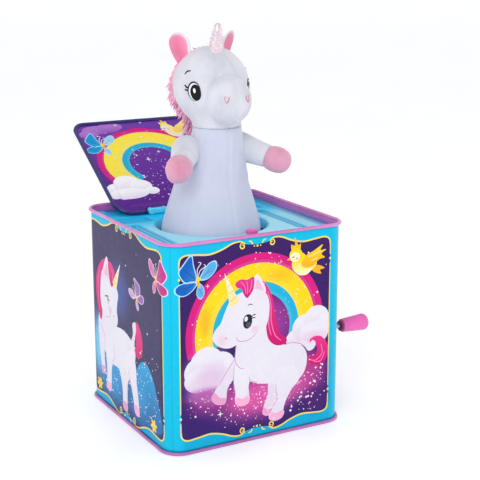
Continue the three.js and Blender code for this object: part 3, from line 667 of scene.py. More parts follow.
def moved(shapes, x=0.0, y=0.0, size=1.0, tilt=0.0, mirror=False):
    """Shapes drawn round (0, 0), carried somewhere else."""
    turn = math.radians(tilt)
    cos, sin = math.cos(turn), math.sin(turn)
    flip = -1 if mirror else 1

    def carry(p):
        u, v = p[0] * size * flip, p[1] * size
        return (x + u * cos - v * sin, y + u * sin + v * cos)

    def carried_paint(paint):
        def painted(px, py):
            u, v = px - x, py - y
            return paint((u * cos + v * sin) * flip / size, (-u * sin + v * cos) / size)

        return painted

    return [([carry(p) for p in outline], carried_paint(paint)) for outline, paint in shapes]


def counterclockwise(outline):
    following = outline[1:] + outline[:1]
    area = sum(a[0] * b[1] - b[0] * a[1] for a, b in zip(outline, following))
    return outline if area > 0 else outline[::-1]


def cut_sheet(outlines, hole_count, extra, bounded):
    """Triangulates some outlines, the last few of which are holes. Gives the points, the kept
    faces, and which outlines each face lies in. If bounded, only faces in the first are kept."""
    points, faces = [], []
    for outline in outlines:
        faces.append(list(range(len(points), len(points) + len(outline))))
        points += counterclockwise(outline)
    hole_ids = set(range(len(outlines) - hole_count, len(outlines)))
    points += extra
    cut = delaunay_2d_cdt([Vector(p) for p in points], [], faces, 1, 1e-4)
    kept, stacks = [], []
    for face, source in zip(cut[2], cut[5]):
        inside = set(source)
        if not inside or inside & hole_ids or (bounded and 0 not in inside):
            continue
        kept.append(tuple(face))
        stacks.append(tuple(sorted(inside)))
    used = sorted({i for face in kept for i in face})
    renumbered = {old: new for new, old in enumerate(used)}
    kept = [tuple(renumbered[i] for i in face) for face in kept]
    return [tuple(cut[0][i]) for i in used], kept, stacks


def painted_sheet(
    name, body, material, shapes, place, extra=(), outline=None, holes=(), gloss=None, back=None,
):
    """Cuts the shapes into one triangulated sheet, puts each point in place and paints it.

    Without an outline the sheet is only as large as its shapes. extra are loose points that let
    gradients and bends show, gloss(x, y) says how thickly fine sparkles lie, and back gives the
    sheet a thickness and its back's material."""
    layers = ([(outline, None)] if outline else []) + list(shapes)
    outlines = [layer[0] for layer in layers] + list(holes)
    spots, faces, stacks = cut_sheet(outlines, len(holes), extra, outline is not None)
    piece = mesh_object(name, [place(x, y) for x, y in spots], faces, material, body)

    @functools.cache
    def colour_at(spot, stack):
        x, y = spots[spot]
        colour = None
        for paint in (layers[layer][1] for layer in stack):
            if paint is not None:
                *tone, cover = paint(x, y)
                colour = tuple(tone) if colour is None else mixed(colour, tone, cover)
        return (*linear(colour or WHITE), gloss(x, y) if gloss else 0.0)

    values = [c for face, stack in zip(faces, stacks) for spot in face for c in colour_at(spot, stack)]
    paint_layer = piece.data.color_attributes.new("paint", "FLOAT_COLOR", "CORNER")
    paint_layer.data.foreach_set("color", values)
    if back:
        thickness, back_material = back
        piece.data.materials.append(back_material)
        thicken(piece, thickness, material_offset=1, material_offset_rim=1)
    return piece


def lattice(low_x, high_x, low_y, high_y, step):
    """Loose points on an even grid, a little inside the edges."""
    columns = round((high_x - low_x) / step)
    rows = round((high_y - low_y) / step)
    return [
        (low_x + (high_x - low_x) * (i + 0.5) / columns, low_y + (high_y - low_y) * (j + 0.5) / rows)
        for i in range(columns)
        for j in range(rows)
    ]

# ------------------------------------------------------------------ motifs of the printed pictures


def cloud(puffs, top=WHITE, low=CLOUD_PINK):
    """Overlapping round puffs, each lit at its upper left and soft below."""
    shapes = []
    for x, y, half_width, half_height in puffs:
        shade = ramp(low, top, y - half_height, y + half_height * 0.4)
        shapes.append((ellipse(x, y, half_width, half_height), shade))
    return shapes


def lines(width, colour, *paths):
    return [(stroke(path, width), flat(colour)) for path in paths]


def rainbow(x, y, outer, widths, start, end, flatten=1.0, yellow=YELLOW):
    """Magenta, yellow and sky bands, each with a slightly lighter inner edge."""
    shapes = []
    for colour, width in zip((MAGENTA, yellow, SKY), widths):
        inner = outer - width
        light = flat(mixed(colour, WHITE, 0.28), 0.55)
        shapes.append((band(x, y, outer, inner, start, end, flatten), flat(colour)))
        shapes.append((band(x, y, inner + width * 0.3, inner, start, end, flatten), light))
        outer = inner
    return shapes


def butterfly(near, far, edge):
    """Seen at an angle, so that its left wings look larger. About 30 across."""
    low_left = (
        (-0.6, -0.6), (-6, 0.6), (-12, 0.8), (-16.6, -1.6), (-17, -5.4), (-13, -8), (-8, -7.4),
        (-3, -4.4),
    )
    high_left = (
        (-0.6, 0.6), (-5, 0.2), (-9.4, 0.4), (-12.4, 4), (-13.6, 9), (-10, 13.6), (-3.4, 19.4),
        (-2.2, 12),
    )
    low_right = ((0.4, -1), (3.4, -4), (4, -9), (1, -12.6), (-2, -9), (-1, -4))
    high_right = ((1, 1), (4, 6.4), (9, 11), (14, 11.6), (14.6, 7), (11, 2.4), (6, 0))
    shapes = []
    for points, colour in ((low_left, near), (high_left, near), (low_right, far), (high_right, far)):
        wing = smooth(*points)
        mid_x = sum(p[0] for p in wing) / len(wing)
        mid_y = sum(p[1] for p in wing) / len(wing)
        inner = [(mid_x + (px - mid_x) * 0.87, mid_y + (py - mid_y) * 0.87) for px, py in wing]
        shapes.append((wing, flat(edge)))
        shapes.append((inner, ball(mixed(colour, WHITE, 0.22), colour, (0, 1), 13)))
        for spread in (-2.6, 0.4, 3.4):
            tip = (mid_x * 1.3 + spread * 0.5, mid_y * 1.3 - spread * 0.7)
            vein = ((mid_x * 0.3, mid_y * 0.3), (mid_x * 0.8, mid_y * 0.8), tip)
            shapes.append((stroke(vein, 0.6), flat(mixed(colour, INK, 0.3), 0.45)))
    shapes += lines(0.6, WHITE, ((0, 2), (2, 7), (6, 9), (5, 11)), ((0, 2), (0, 8), (3, 12), (1, 13)))
    shapes.append((ellipse(0, -1.4, 1.1, 3.6, 12), flat(AMBER)))
    shapes.append((ellipse(0.2, 1.6, 1.7, 1.7), flat(YELLOW)))
    return shapes


def bird(colour=YELLOW, shade=AMBER, breast=rgb(255, 246, 196)):
    """A small round bird in flight, facing left. About 26 across."""
    body = smooth((-7, 2), (-8, -4), (-3, -10), (4, -11), (10, -7), (13, -3), (6, 1), (0, 6))
    wing = smooth(
        (0, -3), (3, 3), (10, 6), (18, 10), (16, 6), (21, 6), (17, 3), (20, 0), (15, -1), (10, -5),
        (4, -6),
    )
    crest = smooth((-8, 8), (-9, 13), (-6, 12), (-6, 18), (-3, 12), (-1, 13), (-2, 7))
    tail = smooth((8, -6), (14, -5), (20, -8), (16, -9), (17, -12), (11, -10))
    shapes = [
        (tail, flat(shade)),
        (body, ramp(breast, colour, -10, 2)),
        (crest, ramp(colour, shade, 7, 15)),
        (ellipse(-5, 5, 5.4, 5.0), flat(colour)),
        (ellipse(-5.6, 3.4, 4.2, 3.6), flat(breast)),
        (wing, ramp(shade, colour, -4, 8)),
        (stroke(((-8.4, 4), (-7.4, 3.2), (-6.2, 4)), 0.6), flat(INK)),
        (smooth((-10, 3.2), (-12.4, 2.2), (-10, 1.4)), flat(shade)),
        (ellipse(-4, 2, 1.1, 0.8), flat(ROSE, 0.7)),
    ]
    for x, y in ((6, 2), (10, 3.4), (8, -1)):
        shapes.append((stroke(((x, y), (x + 3, y + 0.6), (x + 6, y + 1.8)), 0.6), flat(breast, 0.8)))
    return shapes


def flower():
    """Six petals round an amber middle."""
    shapes = []
    for c, s in circle(1, 6):
        tilt = math.degrees(math.atan2(s, c))
        shapes.append((ellipse(3.0 * c, 3.0 * s, 2.6, 1.5, tilt, 16), flat(YELLOW)))
    return shapes + [(ellipse(0, 0, 1.5, 1.5, steps=14), flat(AMBER))]


def stars(*places):
    """Four-pointed sparkles at (x, y, reach)."""
    shapes = []
    for x, y, reach in places:
        points = []
        for i, (c, s) in enumerate(circle(1, 8)):
            out = reach if i % 2 == 0 else reach * 0.26
            points.append((x + c * out, y + s * out))
        shapes.append((points, flat(WHITE)))
    return shapes


def glows(*patches):
    """Soft patches given as ((red, green, blue), x, y, half width, half height, strength)."""
    shapes = []
    for colour, *patch in patches:
        shapes += glow(rgb(*colour), *patch)
    return shapes


def dots(seed, count, region, sizes, colour=rgb(255, 228, 244), cover=0.95):
    """Scattered round sparkles. region is (centre x, centre y, spread x, spread y)."""
    draw = random.Random(seed)
    x, y, spread_x, spread_y = region
    shapes = []
    for _ in range(count):
        radius = sizes[0] + (sizes[1] - sizes[0]) * draw.random() ** 3
        spot = (x + spread_x * draw.uniform(-1, 1), y + spread_y * draw.uniform(-1, 1))
        shapes.append((ellipse(*spot, radius, radius, steps=8), flat(colour, cover)))
    return shapes


def spiral(turns, radius):
    """A curl that opens out of its middle, ending at (0, 0) and heading right."""
    count = round(12 * turns)
    points = []
    for i in range(count + 1):
        share = i / count
        angle = -math.pi / 2 - (1 - share) * turns * TAU
        reach = radius * (0.25 + 0.75 * share)
        points.append((reach * math.cos(angle), radius + reach * math.sin(angle)))
    return points


FRAME_HALF = 58.5  # the wave below is drawn for a frame this wide each way
FRAME_WAVE = (
    (-57.9, -6.0), (-57, -2.0), (-53, 0.0), (-45, -0.6), (-36, -1.4),
    (-27, 0.6), (-19, 3.8), (-13, 4.4), (-9.5, 2.4),
)


def gilt_edge(mirror):
    """Half of a frame's top or bottom line: a corner, a wave and a curl with dots."""
    shapes = [(stroke(FRAME_WAVE, 1.1, 0.8), flat(GOLD))]
    curl = [(x - 11.2, -y + 3.4) for x, y in spiral(1.1, 2.3)]
    shapes.append((stroke(curl, 1.0, 0.6, 2), flat(GOLD)))
    shapes.append((stroke(((-6.6, 4.0), (-4.6, 3.4), (-3.8, 1.4)), 0.9), flat(GOLD)))
    for x, radius in ((-2.4, 0.55), (-0.1, 0.75)):
        shapes.append((ellipse(x, 0.2, radius, radius, steps=12), flat(GOLD)))
    return moved(shapes, mirror=mirror)


def gilt_frame(left, right, top, bottom):
    """Gold lines round a picture, thin down its sides with breaks and beads."""
    middle = (left + right) / 2
    size = (right - left) / 2 / FRAME_HALF
    shapes = []
    for mirror in (False, True):
        shapes += moved(gilt_edge(mirror), middle, top, size)
        shapes += moved(moved(gilt_edge(mirror), tilt=180), middle, bottom, size)
        side = right - 0.6 if mirror else left + 0.6
        for low, high in ((bottom + 5, bottom + 13), (bottom + 19, top - 19), (top - 13, top - 5)):
            line = ((side, low), (side, (low + high) / 2), (side, high))
            shapes.append((stroke(line, 0.75, 0.6), flat(GOLD)))
        for y in (bottom + 16, top - 16):
            shapes.append((ellipse(side, y, 0.8, 1.0, steps=12), flat(GOLD)))
    return shapes


def window(left, right, top, bottom):
    """The dark ground inside a gilt frame, with its waved top and bottom."""
    middle, size = (left + right) / 2, (right - left) / 2 / FRAME_HALF
    edge = FRAME_WAVE + ((-4.6, 1.6), (0, 1.2))
    upper = [(middle + x * size, top + y * size) for x, y in edge]
    upper += [(middle - x * size, top + y * size) for x, y in reversed(edge[:-1])]
    lower = [(x, bottom + top - y) for x, y in reversed(upper)]
    first, last = top - 6 * size, bottom + 6 * size
    heights = [first + (last - first) * share for share in (0.03, 0.1, 0.5, 0.9, 0.97)]
    down = [(right - 0.6, y) for y in heights]
    back_up = [(left + 0.6, y) for y in reversed(heights)]
    return curve_points(upper + down + lower + back_up, True, 4)


PALE = mixed(WHITE, LILAC_WHITE, 0.45)
MIST_WHITE = rgb(222, 196, 224)
DARK_PINK = rgb(204, 14, 108)
LIGHT_PINK = rgb(230, 52, 138)
HOOF = rgb(246, 176, 212)


def hair(low, high):
    """The pink of manes and tails, between two heights."""
    return ramp(DARK_PINK, LIGHT_PINK, low, high)


def horn_shapes(base, tip, turns):
    """A slim cone from base to tip, with bands that cross it at a slant."""
    (x, y), (tip_x, tip_y) = base, tip
    across = Vector((tip_y - y, x - tip_x)).normalized() * 3.9
    cone = [(x - across.x, y - across.y), tip, (x + across.x, y + across.y), (x, y - 0.8)]
    shapes = [(cone, ramp(rgb(255, 226, 140), rgb(255, 248, 232), y, tip_y))]
    for i in range(turns):
        share = (i + 0.6) / (turns + 0.6)
        half = across * (1 - share) * 0.86
        mid_x, mid_y = x + (tip_x - x) * share, y + (tip_y - y) * share
        left, right = (mid_x - half.x, mid_y - half.y), (mid_x + half.x, mid_y + half.y + 1.3)
        shapes += lines(0.55, rgb(236, 178, 128), (left, (mid_x, mid_y + 0.3), right))
    return shapes


def trotting_unicorn():
    """Facing left with an open eye, in the front picture's own place."""
    far_front = smooth(
        (-19.5, 63), (-26, 54.5), (-31, 46.5), (-36.4, 39), (-33.6, 33), (-26.8, 32.6), (-25.4, 41),
        (-20.4, 49), (-16, 55),
    )
    far_front_hoof = smooth(
        (-35.4, 40.4), (-37.8, 36.2), (-34.2, 31.6), (-27.8, 30.6), (-26.4, 34.8), (-31, 36),
    )
    far_hind = smooth(
        (7.5, 41.5), (6.5, 31), (3.6, 24), (3, 19.6), (7, 17.4), (10.6, 19.4), (14, 27), (16, 38),
    )
    far_hind_hoof = smooth((3.4, 22), (2.2, 18), (5.6, 15.4), (10, 16.6), (10.6, 20), (6.6, 20))
    near_front = smooth(
        (-19.4, 57), (-20.3, 46), (-19.2, 38), (-18.8, 31.5), (-13.5, 29.6), (-8.6, 32), (-8.8, 40),
        (-7.6, 47), (-9, 56),
    )
    near_front_hoof = smooth(
        (-19, 33.6), (-18.9, 28.8), (-13.6, 26.4), (-8.3, 28.6), (-8.5, 33.8), (-13.6, 32),
    )
    near_hind = smooth(
        (10, 42), (13, 33), (14.3, 27.2), (10.5, 20), (8.6, 15), (13, 12.6), (18.4, 14.4), (20.5, 22),
        (25.5, 31), (32, 38), (28, 48), (16, 50),
    )
    near_hind_hoof = smooth((8.6, 17.6), (7.7, 12.6), (12.6, 10.2), (18.6, 12), (19.4, 17.2), (13.6, 16))
    body = smooth(
        (-17.5, 74), (-19.4, 66), (-19.4, 58), (-16.5, 50), (-10, 44.5), (0, 40.4), (10, 38.6),
        (20, 34.5), (28, 35.5), (35.5, 41.5), (38.4, 50), (37.4, 58), (32.8, 63.2), (26, 65.2),
        (20.4, 65.4), (14, 68), (10, 76), (6, 86), (-2, 86), (-10, 80),
    )
    face = smooth(
        (-23.7, 102.6), (-27.8, 94.5), (-30.4, 88.6), (-34.7, 84.2), (-36.6, 79), (-33.8, 74.2),
        (-28.5, 71), (-22.5, 70.2), (-17, 72), (-10, 72.4), (-3, 74), (3.5, 79), (6.8, 87), (7.4, 97),
        (4.5, 105), (-3, 108.8), (-12, 108.4), (-19, 106.4),
    )
    pink_tail = smooth(
        (40.5, 65.4), (44, 67.4), (50, 66.6), (55.4, 60), (55.6, 51.5), (51, 46.2), (44.5, 46.2),
        (37.6, 50.6), (41.4, 50.6), (38.8, 53.6), (44.6, 53), (47, 57), (45.6, 61.6), (42, 63),
    )
    tail_root = smooth(
        (31, 64), (36, 61.6), (39.4, 57.6), (44, 58.6), (45.4, 62.8), (42.6, 65), (40.8, 62.4),
        (38, 64.4), (34, 66.4),
    )
    mane = smooth(
        (-0.5, 115.6), (5, 111), (9.2, 103), (11.4, 94), (13, 84), (15.4, 75.4), (21.4, 69.6), (20, 66),
        (12.8, 66.2), (7, 71.4), (5, 80), (5.4, 89), (5, 98), (1, 106),
    )
    ear = smooth((-7, 106), (-6, 113), (-2.6, 119), (2, 113.6), (4.6, 106), (-1, 103))
    inner_ear = smooth((-4, 107), (-3.4, 112), (-2.2, 115.6), (1, 111.4), (2.4, 106.4))
    forelock = smooth(
        (-19, 115), (-15, 117.2), (-10, 116.4), (-4.8, 117.6), (-5, 110), (-7.6, 105.6), (-10.2, 103.6),
        (-12.8, 106.6), (-14.2, 110.2), (-18, 112),
    )
    shapes = [(pink_tail, hair(46, 66)), (tail_root, flat(PALE))]
    shapes += lines(
        0.8, ROSE, ((41, 50.6), (46, 49.6), (51, 54), (50, 61)), ((44, 48.6), (50, 48.6), (53.4, 55)),
    )
    shaded = ramp(mixed(PALE, CLOUD_PINK, 0.5), PALE, 18, 56)
    for leg, hoof in ((far_front, far_front_hoof), (far_hind, far_hind_hoof)):
        shapes += [(leg, shaded), (hoof, flat(mixed(HOOF, PLUM, 0.12)))]
    shapes += [(body, ball(WHITE, PALE, (2, 56), 38))]
    for leg, hoof in ((near_front, near_front_hoof), (near_hind, near_hind_hoof)):
        shapes += [(leg, ramp(PALE, WHITE, 14, 50)), (hoof, flat(HOOF))]
    shapes += lines(
        0.55,
        LINE,
        ((-17.6, 73), (-19.2, 66), (-19, 59), (-15.5, 54.6), (-12, 53.4)),
        ((-19.6, 62), (-26, 53.6), (-31.5, 45)),
        ((-20, 57), (-20.6, 46), (-19.4, 37)),
        ((-8.4, 47), (-7, 43.6), (-2, 42)),
        ((13, 38), (13.6, 31), (14.4, 27), (11, 21)),
        ((21, 65.6), (27, 65.8), (33, 63.8), (36, 61.4)),
    )
    shapes += [
        (mane, hair(66, 112)),
        (ear, ramp(PALE, WHITE, 104, 114)),
        (inner_ear, flat(mixed(ROSE, WHITE, 0.62))),
    ]
    shapes += lines(
        0.8, ROSE, ((6, 106), (8.6, 96), (9, 84), (12, 74), (17, 69)),
        ((3.6, 104), (6.8, 94), (7, 82), (9, 74)),
    )
    shapes += [(face, ball(WHITE, mixed(WHITE, PALE, 0.6), (-10, 90), 26))]
    shapes += glow(mixed(ROSE, WHITE, 0.7), -29.5, 76.6, 6.4, 5.4, 0.6)
    shapes += glow(mixed(ROSE, WHITE, 0.35), -4, 80.5, 4.4, 3.0, 0.55)
    shapes += [(forelock, hair(103, 114))]
    shapes += lines(
        0.7, ROSE, ((-15, 115.8), (-12, 112), (-11, 106.6)), ((-10.4, 115.6), (-9.6, 110), (-10, 106)),
        ((-6.4, 116), (-7, 111), (-8.6, 107)),
    )
    shapes += horn_shapes((-19.8, 101), (-27.4, 123.4), 4)
    shapes += lines(
        0.6,
        LINE,
        ((-18.2, 77.4), (-17.4, 74.6), (-14, 73.4), (-8, 74), (-2.4, 78)),
        ((-27.4, 78.4), (-26.4, 77.2), (-25.6, 78.2)),
    )
    shapes += [
        (ellipse(-9.6, 86.8, 3.5, 5.0, -8), flat(rgb(34, 34, 44))),
        (ellipse(-8.9, 84.4, 2.1, 2.0), flat(rgb(78, 82, 96))),
        (ellipse(-10.8, 88.8, 1.3, 1.8, -10), flat(WHITE)),
    ]
    shapes += lines(
        0.75, INK, ((-13, 88.4), (-11, 91.2), (-8, 91.4), (-5.8, 89.2)),
        ((-6.4, 90), (-4.6, 91), (-3.2, 90.8)), ((-6.2, 88.6), (-4.6, 89), (-3.6, 88.6)),
    )
    return shapes + lines(0.6, INK, ((-9.4, 98.2), (-7.6, 98.9), (-5.8, 98.2)))


def turning_unicorn():
    """Facing left, its head turned back and its eyes shut, in the side picture's own place."""
    far_front = smooth(
        (-49.4, 63), (-50, 50), (-48.4, 38), (-46, 28), (-39.6, 27), (-40.5, 36), (-40, 46), (-38, 56),
    )
    near_front = smooth(
        (-39, 54), (-37.4, 40), (-36.2, 28), (-37, 18), (-30, 15.6), (-28.4, 24), (-27, 34), (-22, 44),
        (-24, 54),
    )
    far_hind = smooth((-17, 42), (-12, 34), (-8.6, 24), (-7.6, 12), (-1, 9.8), (0, 20), (1, 30), (6, 42))
    near_hind = smooth(
        (-5, 46), (3, 36), (9, 26), (13, 15.4), (19.6, 13), (19.2, 24), (16.6, 36), (15.8, 48), (10, 58),
    )
    far_hooves = (
        smooth((-46.4, 30), (-46.8, 26), (-43, 24), (-39, 26), (-39.2, 30)),
        smooth((-8, 14.6), (-8.2, 9.6), (-4, 7.6), (-0.4, 9), (-0.2, 14)),
    )
    near_hooves = (
        smooth((-37.2, 20), (-37.6, 15.6), (-33.4, 13.4), (-29.4, 15), (-29.2, 19.6)),
        smooth((11.6, 18.6), (12.4, 13.4), (16.4, 11), (20.2, 12.4), (19.8, 18)),
    )
    body = smooth(
        (-46, 78), (-49.6, 68), (-50.4, 60), (-46, 50), (-38, 42), (-28, 37.4), (-17, 37.4), (-6, 36),
        (4, 38), (12, 46), (15.6, 56), (11.4, 63.4), (2, 67.8), (-8, 69), (-18, 68.4), (-24, 72),
        (-30, 82),
    )
    face = smooth(
        (-41, 104.4), (-44.4, 94), (-45.4, 84), (-43, 75), (-36, 70.6), (-29, 70.4), (-26, 67.4),
        (-21, 66.4), (-16, 69), (-14, 74), (-15.4, 80), (-14.4, 86), (-12.4, 93), (-17, 99.4),
        (-24, 102.8), (-32, 105.8),
    )
    mane = smooth(
        (-28, 114.4), (-37, 114), (-46, 108), (-51.6, 99), (-53.4, 88), (-51.2, 76), (-46, 65.6),
        (-42.4, 72), (-44, 84), (-42, 95), (-38, 103), (-30, 107),
    )
    forelock = smooth((-29.4, 112.6), (-24, 114), (-17.6, 108), (-18.6, 101.6), (-23.5, 96), (-27.4, 101))
    tail = smooth(
        (12.6, 78), (19, 81.4), (25.4, 76.4), (28, 68), (26, 58.4), (18, 55.6), (13.4, 57.4), (17, 66),
        (15.4, 73),
    )
    tail_root = smooth((8.6, 64), (12, 71), (11.6, 78), (16, 80.6), (17.6, 76), (15, 68), (13.4, 60))
    ear = smooth((-41, 100), (-37, 110), (-31.4, 117), (-28.6, 108.6), (-27.4, 101))
    inner_ear = smooth((-37, 103), (-34, 109), (-31.6, 112.6), (-30.2, 107), (-30, 102.6))
    shaded = mixed(PALE, WHITE, 0.4)
    shapes = [
        (tail, hair(54, 80)),
        (tail_root, flat(PALE)),
        (far_front, ramp(PALE, shaded, 24, 60)),
        (far_hind, ramp(PALE, shaded, 10, 40)),
        *[(hoof, flat(mixed(HOOF, PLUM, 0.14))) for hoof in far_hooves],
        (body, ball(WHITE, PALE, (-12, 58), 40)),
        (near_front, ramp(PALE, WHITE, 16, 46)),
        (near_hind, ramp(PALE, WHITE, 12, 44)),
        *[(hoof, flat(HOOF)) for hoof in near_hooves],
        (mane, hair(66, 112)),
        (face, ball(WHITE, mixed(WHITE, PALE, 0.6), (-32, 90), 26)),
        (ear, ramp(PALE, WHITE, 100, 112)),
        (inner_ear, flat(mixed(ROSE, WHITE, 0.6))),
        (forelock, hair(97, 112)),
    ]
    shapes += horn_shapes((-18.6, 98.2), (-7.4, 117), 4)
    shapes += glow(mixed(ROSE, WHITE, 0.3), -28, 78, 4.6, 3.4, 0.5)
    shapes += lines(
        0.8, ROSE, ((-46, 104), (-49, 94), (-49, 82), (-47, 72)), ((-23, 110), (-21, 106), (-22, 101)),
    )
    shapes += lines(
        0.6,
        LINE,
        ((-36, 71), (-29, 72), (-27, 76), (-26.4, 79)),
        ((-22, 74.6), (-20.6, 75.4), (-19.4, 74.6)),
        ((-47, 62), (-40, 56), (-38, 46)),
        ((-24, 52), (-22, 44), (-26, 38)),
        ((2, 44), (5, 36), (9, 27)),
    )
    return shapes + lines(
        0.9, INK, ((-37, 85.6), (-34.4, 87), (-31.6, 84.4), (-30.6, 81.4)),
        ((-34, 86.4), (-31.6, 87.4), (-29.8, 86.4)), ((-32, 84.6), (-29.8, 85), (-28.4, 83.8)),
    )


# ------------------------------------------------------------------ the printed pictures
#
# x runs to the right and y up, as each picture is seen. A wall's x starts from the middle of its
# side and its y from the floor; the lid's y starts at its hinge.

PICTURE_TOP = 138.8
PICTURE_BOTTOM = 9.8
FRONT_BOW = (-2.8, 80)  # the middle of the front's rainbow


def front_picture():
    left, right = -61.2, 57.0
    ground = window(left, right, PICTURE_TOP, PICTURE_BOTTOM)
    shapes = [(ground, ramp(rgb(54, 28, 108), rgb(56, 24, 98), 10, 120))]
    shapes += glows(
        ((150, 54, 146), 8, 84, 34, 32, 1.0),
        ((214, 84, 160), -2, 31, 48, 23, 1.0),
        ((196, 62, 146), 40, 42, 22, 26, 0.85),
        ((226, 100, 172), 22, 34, 26, 16, 0.7),
        ((190, 64, 150), -42, 36, 20, 16, 0.6),
        ((74, 30, 112), 46, 20, 16, 14, 0.8),
    )
    shapes += rainbow(*FRONT_BOW, 54.0, (7.0, 13.2, 7.2), -14, 194)
    shapes += glows(((252, 176, 40), 16, 116, 16, 7, 0.5), ((252, 150, 60), -42, 92, 6, 16, 0.45))
    shapes += dots(3, 20, (0, 124, 34, 7), (0.25, 0.7))
    shapes += glows(((246, 200, 234), -40, 54, 23, 26, 0.95))
    shapes += cloud(
        (
            (-49, 57, 9, 10), (-31, 60, 11, 9), (-24, 55, 8, 7), (-41, 61, 13, 13), (-45, 51, 13, 9),
            (-34, 50, 14, 8),
        ),
        low=MIST_WHITE,
    )
    shapes += glow(MIST_WHITE, -38, 52, 19, 12, 1.0)
    shapes += glows(((176, 92, 168), -42, 40, 22, 7, 0.95))
    shapes += cloud(
        ((29, 68, 8, 7), (36, 75, 10, 10), (46, 80, 10.5, 10), (52, 74, 5, 9), (44, 70, 12, 9))
    )
    shapes += glow(CLOUD_PINK, 44, 66, 13, 8, 0.9)
    shapes += dots(5, 120, (10, 30, 38, 16), (0.2, 0.95))
    shapes += dots(6, 40, (42, 40, 12, 16), (0.2, 0.9))
    shapes += dots(7, 36, (-38, 34, 18, 10), (0.2, 0.8))
    shapes += dots(11, 14, (20, 96, 10, 12), (0.22, 0.55))
    shapes += trotting_unicorn()
    shapes += stars((-31, 24, 2.6), (33, 24, 1.8), (-40, 116, 1.6), (46, 44, 1.6))
    shapes += gilt_frame(left, right, PICTURE_TOP, PICTURE_BOTTOM)
    shapes += moved(butterfly(BLUE, rgb(88, 172, 230), rgb(168, 222, 248)), -47.0, 120.2, 1.0, 4)
    shapes += moved(bird(), 33, 124, 0.95)
    return shapes


def side_picture():
    left, right = -61.0, 60.0
    top, bottom = 140.2, 7.4
    shapes = [(window(left, right, top, bottom), ramp(rgb(32, 38, 92), rgb(54, 46, 92), 10, 80))]
    shapes += glows(
        ((66, 92, 170), -12, 96, 26, 30, 0.8),
        ((20, 146, 206), -26, 30, 46, 36, 1.0),
        ((110, 204, 240), -52, 46, 12, 36, 0.95),
        ((20, 128, 196), 26, 22, 40, 24, 1.0),
    )
    hill = smooth((10, 10), (13, 36), (20, 50), (31, 56), (42, 50), (50, 36), (56, 12))
    shapes.append((hill, ramp(rgb(0, 96, 160), rgb(10, 156, 210), 10, 50)))
    shapes += glows(((20, 150, 206), 22, 30, 18, 22, 0.8))
    shapes += dots(13, 40, (-8, 40, 44, 32), (0.2, 0.7), rgb(224, 244, 255))
    shapes += dots(17, 16, (-4, 108, 44, 24), (0.2, 0.4), rgb(190, 200, 240), 0.6)
    shapes += turning_unicorn()
    shapes += gilt_frame(left, right, top, bottom)
    mauve = butterfly(rgb(150, 110, 176), rgb(206, 168, 222), rgb(240, 220, 244))
    pink = butterfly(rgb(196, 62, 140), rgb(214, 122, 176), rgb(246, 200, 222))
    shapes += moved(mauve, 19, 99, 0.72, 24, mirror=True)
    shapes += moved(pink, 51, 120, 0.86, -14, mirror=True)
    for x in (-51, 44):
        shapes += moved(flower(), x, 14, 0.9, 12)
    return shapes + stars((2, 118, 1.4), (36, 78, 1.5), (-46, 30, 1.4))


def on_picture(x, y):
    return abs(x) < 56 and 12 < y < 136


def front_speckle(x, y):
    """How thickly the finest sparkles lie: in the pink mist and along the rainbow."""
    pink_mist = math.exp(-(((x - 6) / 34) ** 2) - ((y - 30) / 15) ** 2)
    bow = math.exp(-(((math.dist((x, y), FRONT_BOW) - 46) / 6) ** 2)) * (1 if y > 74 else 0)
    return 0.01 + 0.42 * pink_mist + 0.12 * bow if on_picture(x, y) else 0.0


def side_speckle(x, y):
    return 0.003 + 0.1 * math.exp(-(((y - 30) / 26) ** 2)) if on_picture(x, y) else 0.0


def lid_picture():
    """The lid's inside."""
    shapes = [
        (
            rounded_outline(-52, 52, 0.3, 104.2, (9, 9, 14, 14)),
            ramp(rgb(92, 32, 142), rgb(112, 56, 166), 10, 90),
        ),
    ]
    shapes += cloud(
        ((-34, 97, 12, 5), (-22, 99, 11, 5), (-42, 92, 8, 5)), rgb(178, 120, 204), rgb(150, 92, 188),
    )
    shapes += rainbow(0.5, 53, 47.5, (5.6, 14.5, 6.0), -46, 226, 0.9, LEMON)
    shapes += dots(19, 30, (-2, 82, 38, 12), (0.25, 0.6))
    shapes += dots(23, 64, (2, 46, 22, 26), (0.22, 0.8), WHITE)
    shapes += stars(
        (-4, 58, 2.6), (8, 66, 2.0), (-12, 64, 1.8), (4, 34, 2.4), (14, 24, 2.2),
        (-16, 101, 1.8), (6, 102, 1.6),
    )
    left_puffs = (
        (-42, 27, 9, 7), (-32, 33, 11, 9), (-22, 29, 9, 7), (-15, 23, 6, 4), (-34, 22, 16, 6),
        (-46, 21, 5, 4),
    )
    right_puffs = ((40, 27, 9, 7), (31, 31, 10, 8), (22, 25, 7, 5), (34, 22, 14, 6))
    for puffs in (left_puffs, right_puffs):
        shapes += cloud(puffs, CLOUD_WHITE, rgb(236, 224, 246))
    shapes += moved(butterfly(rgb(0, 150, 216), rgb(160, 214, 240), rgb(150, 222, 246)), -35, 78, 0.9, 6)
    shapes += moved(bird(rgb(253, 232, 120), rgb(250, 208, 84), WHITE), 31, 91, 0.85, 10)
    return shapes


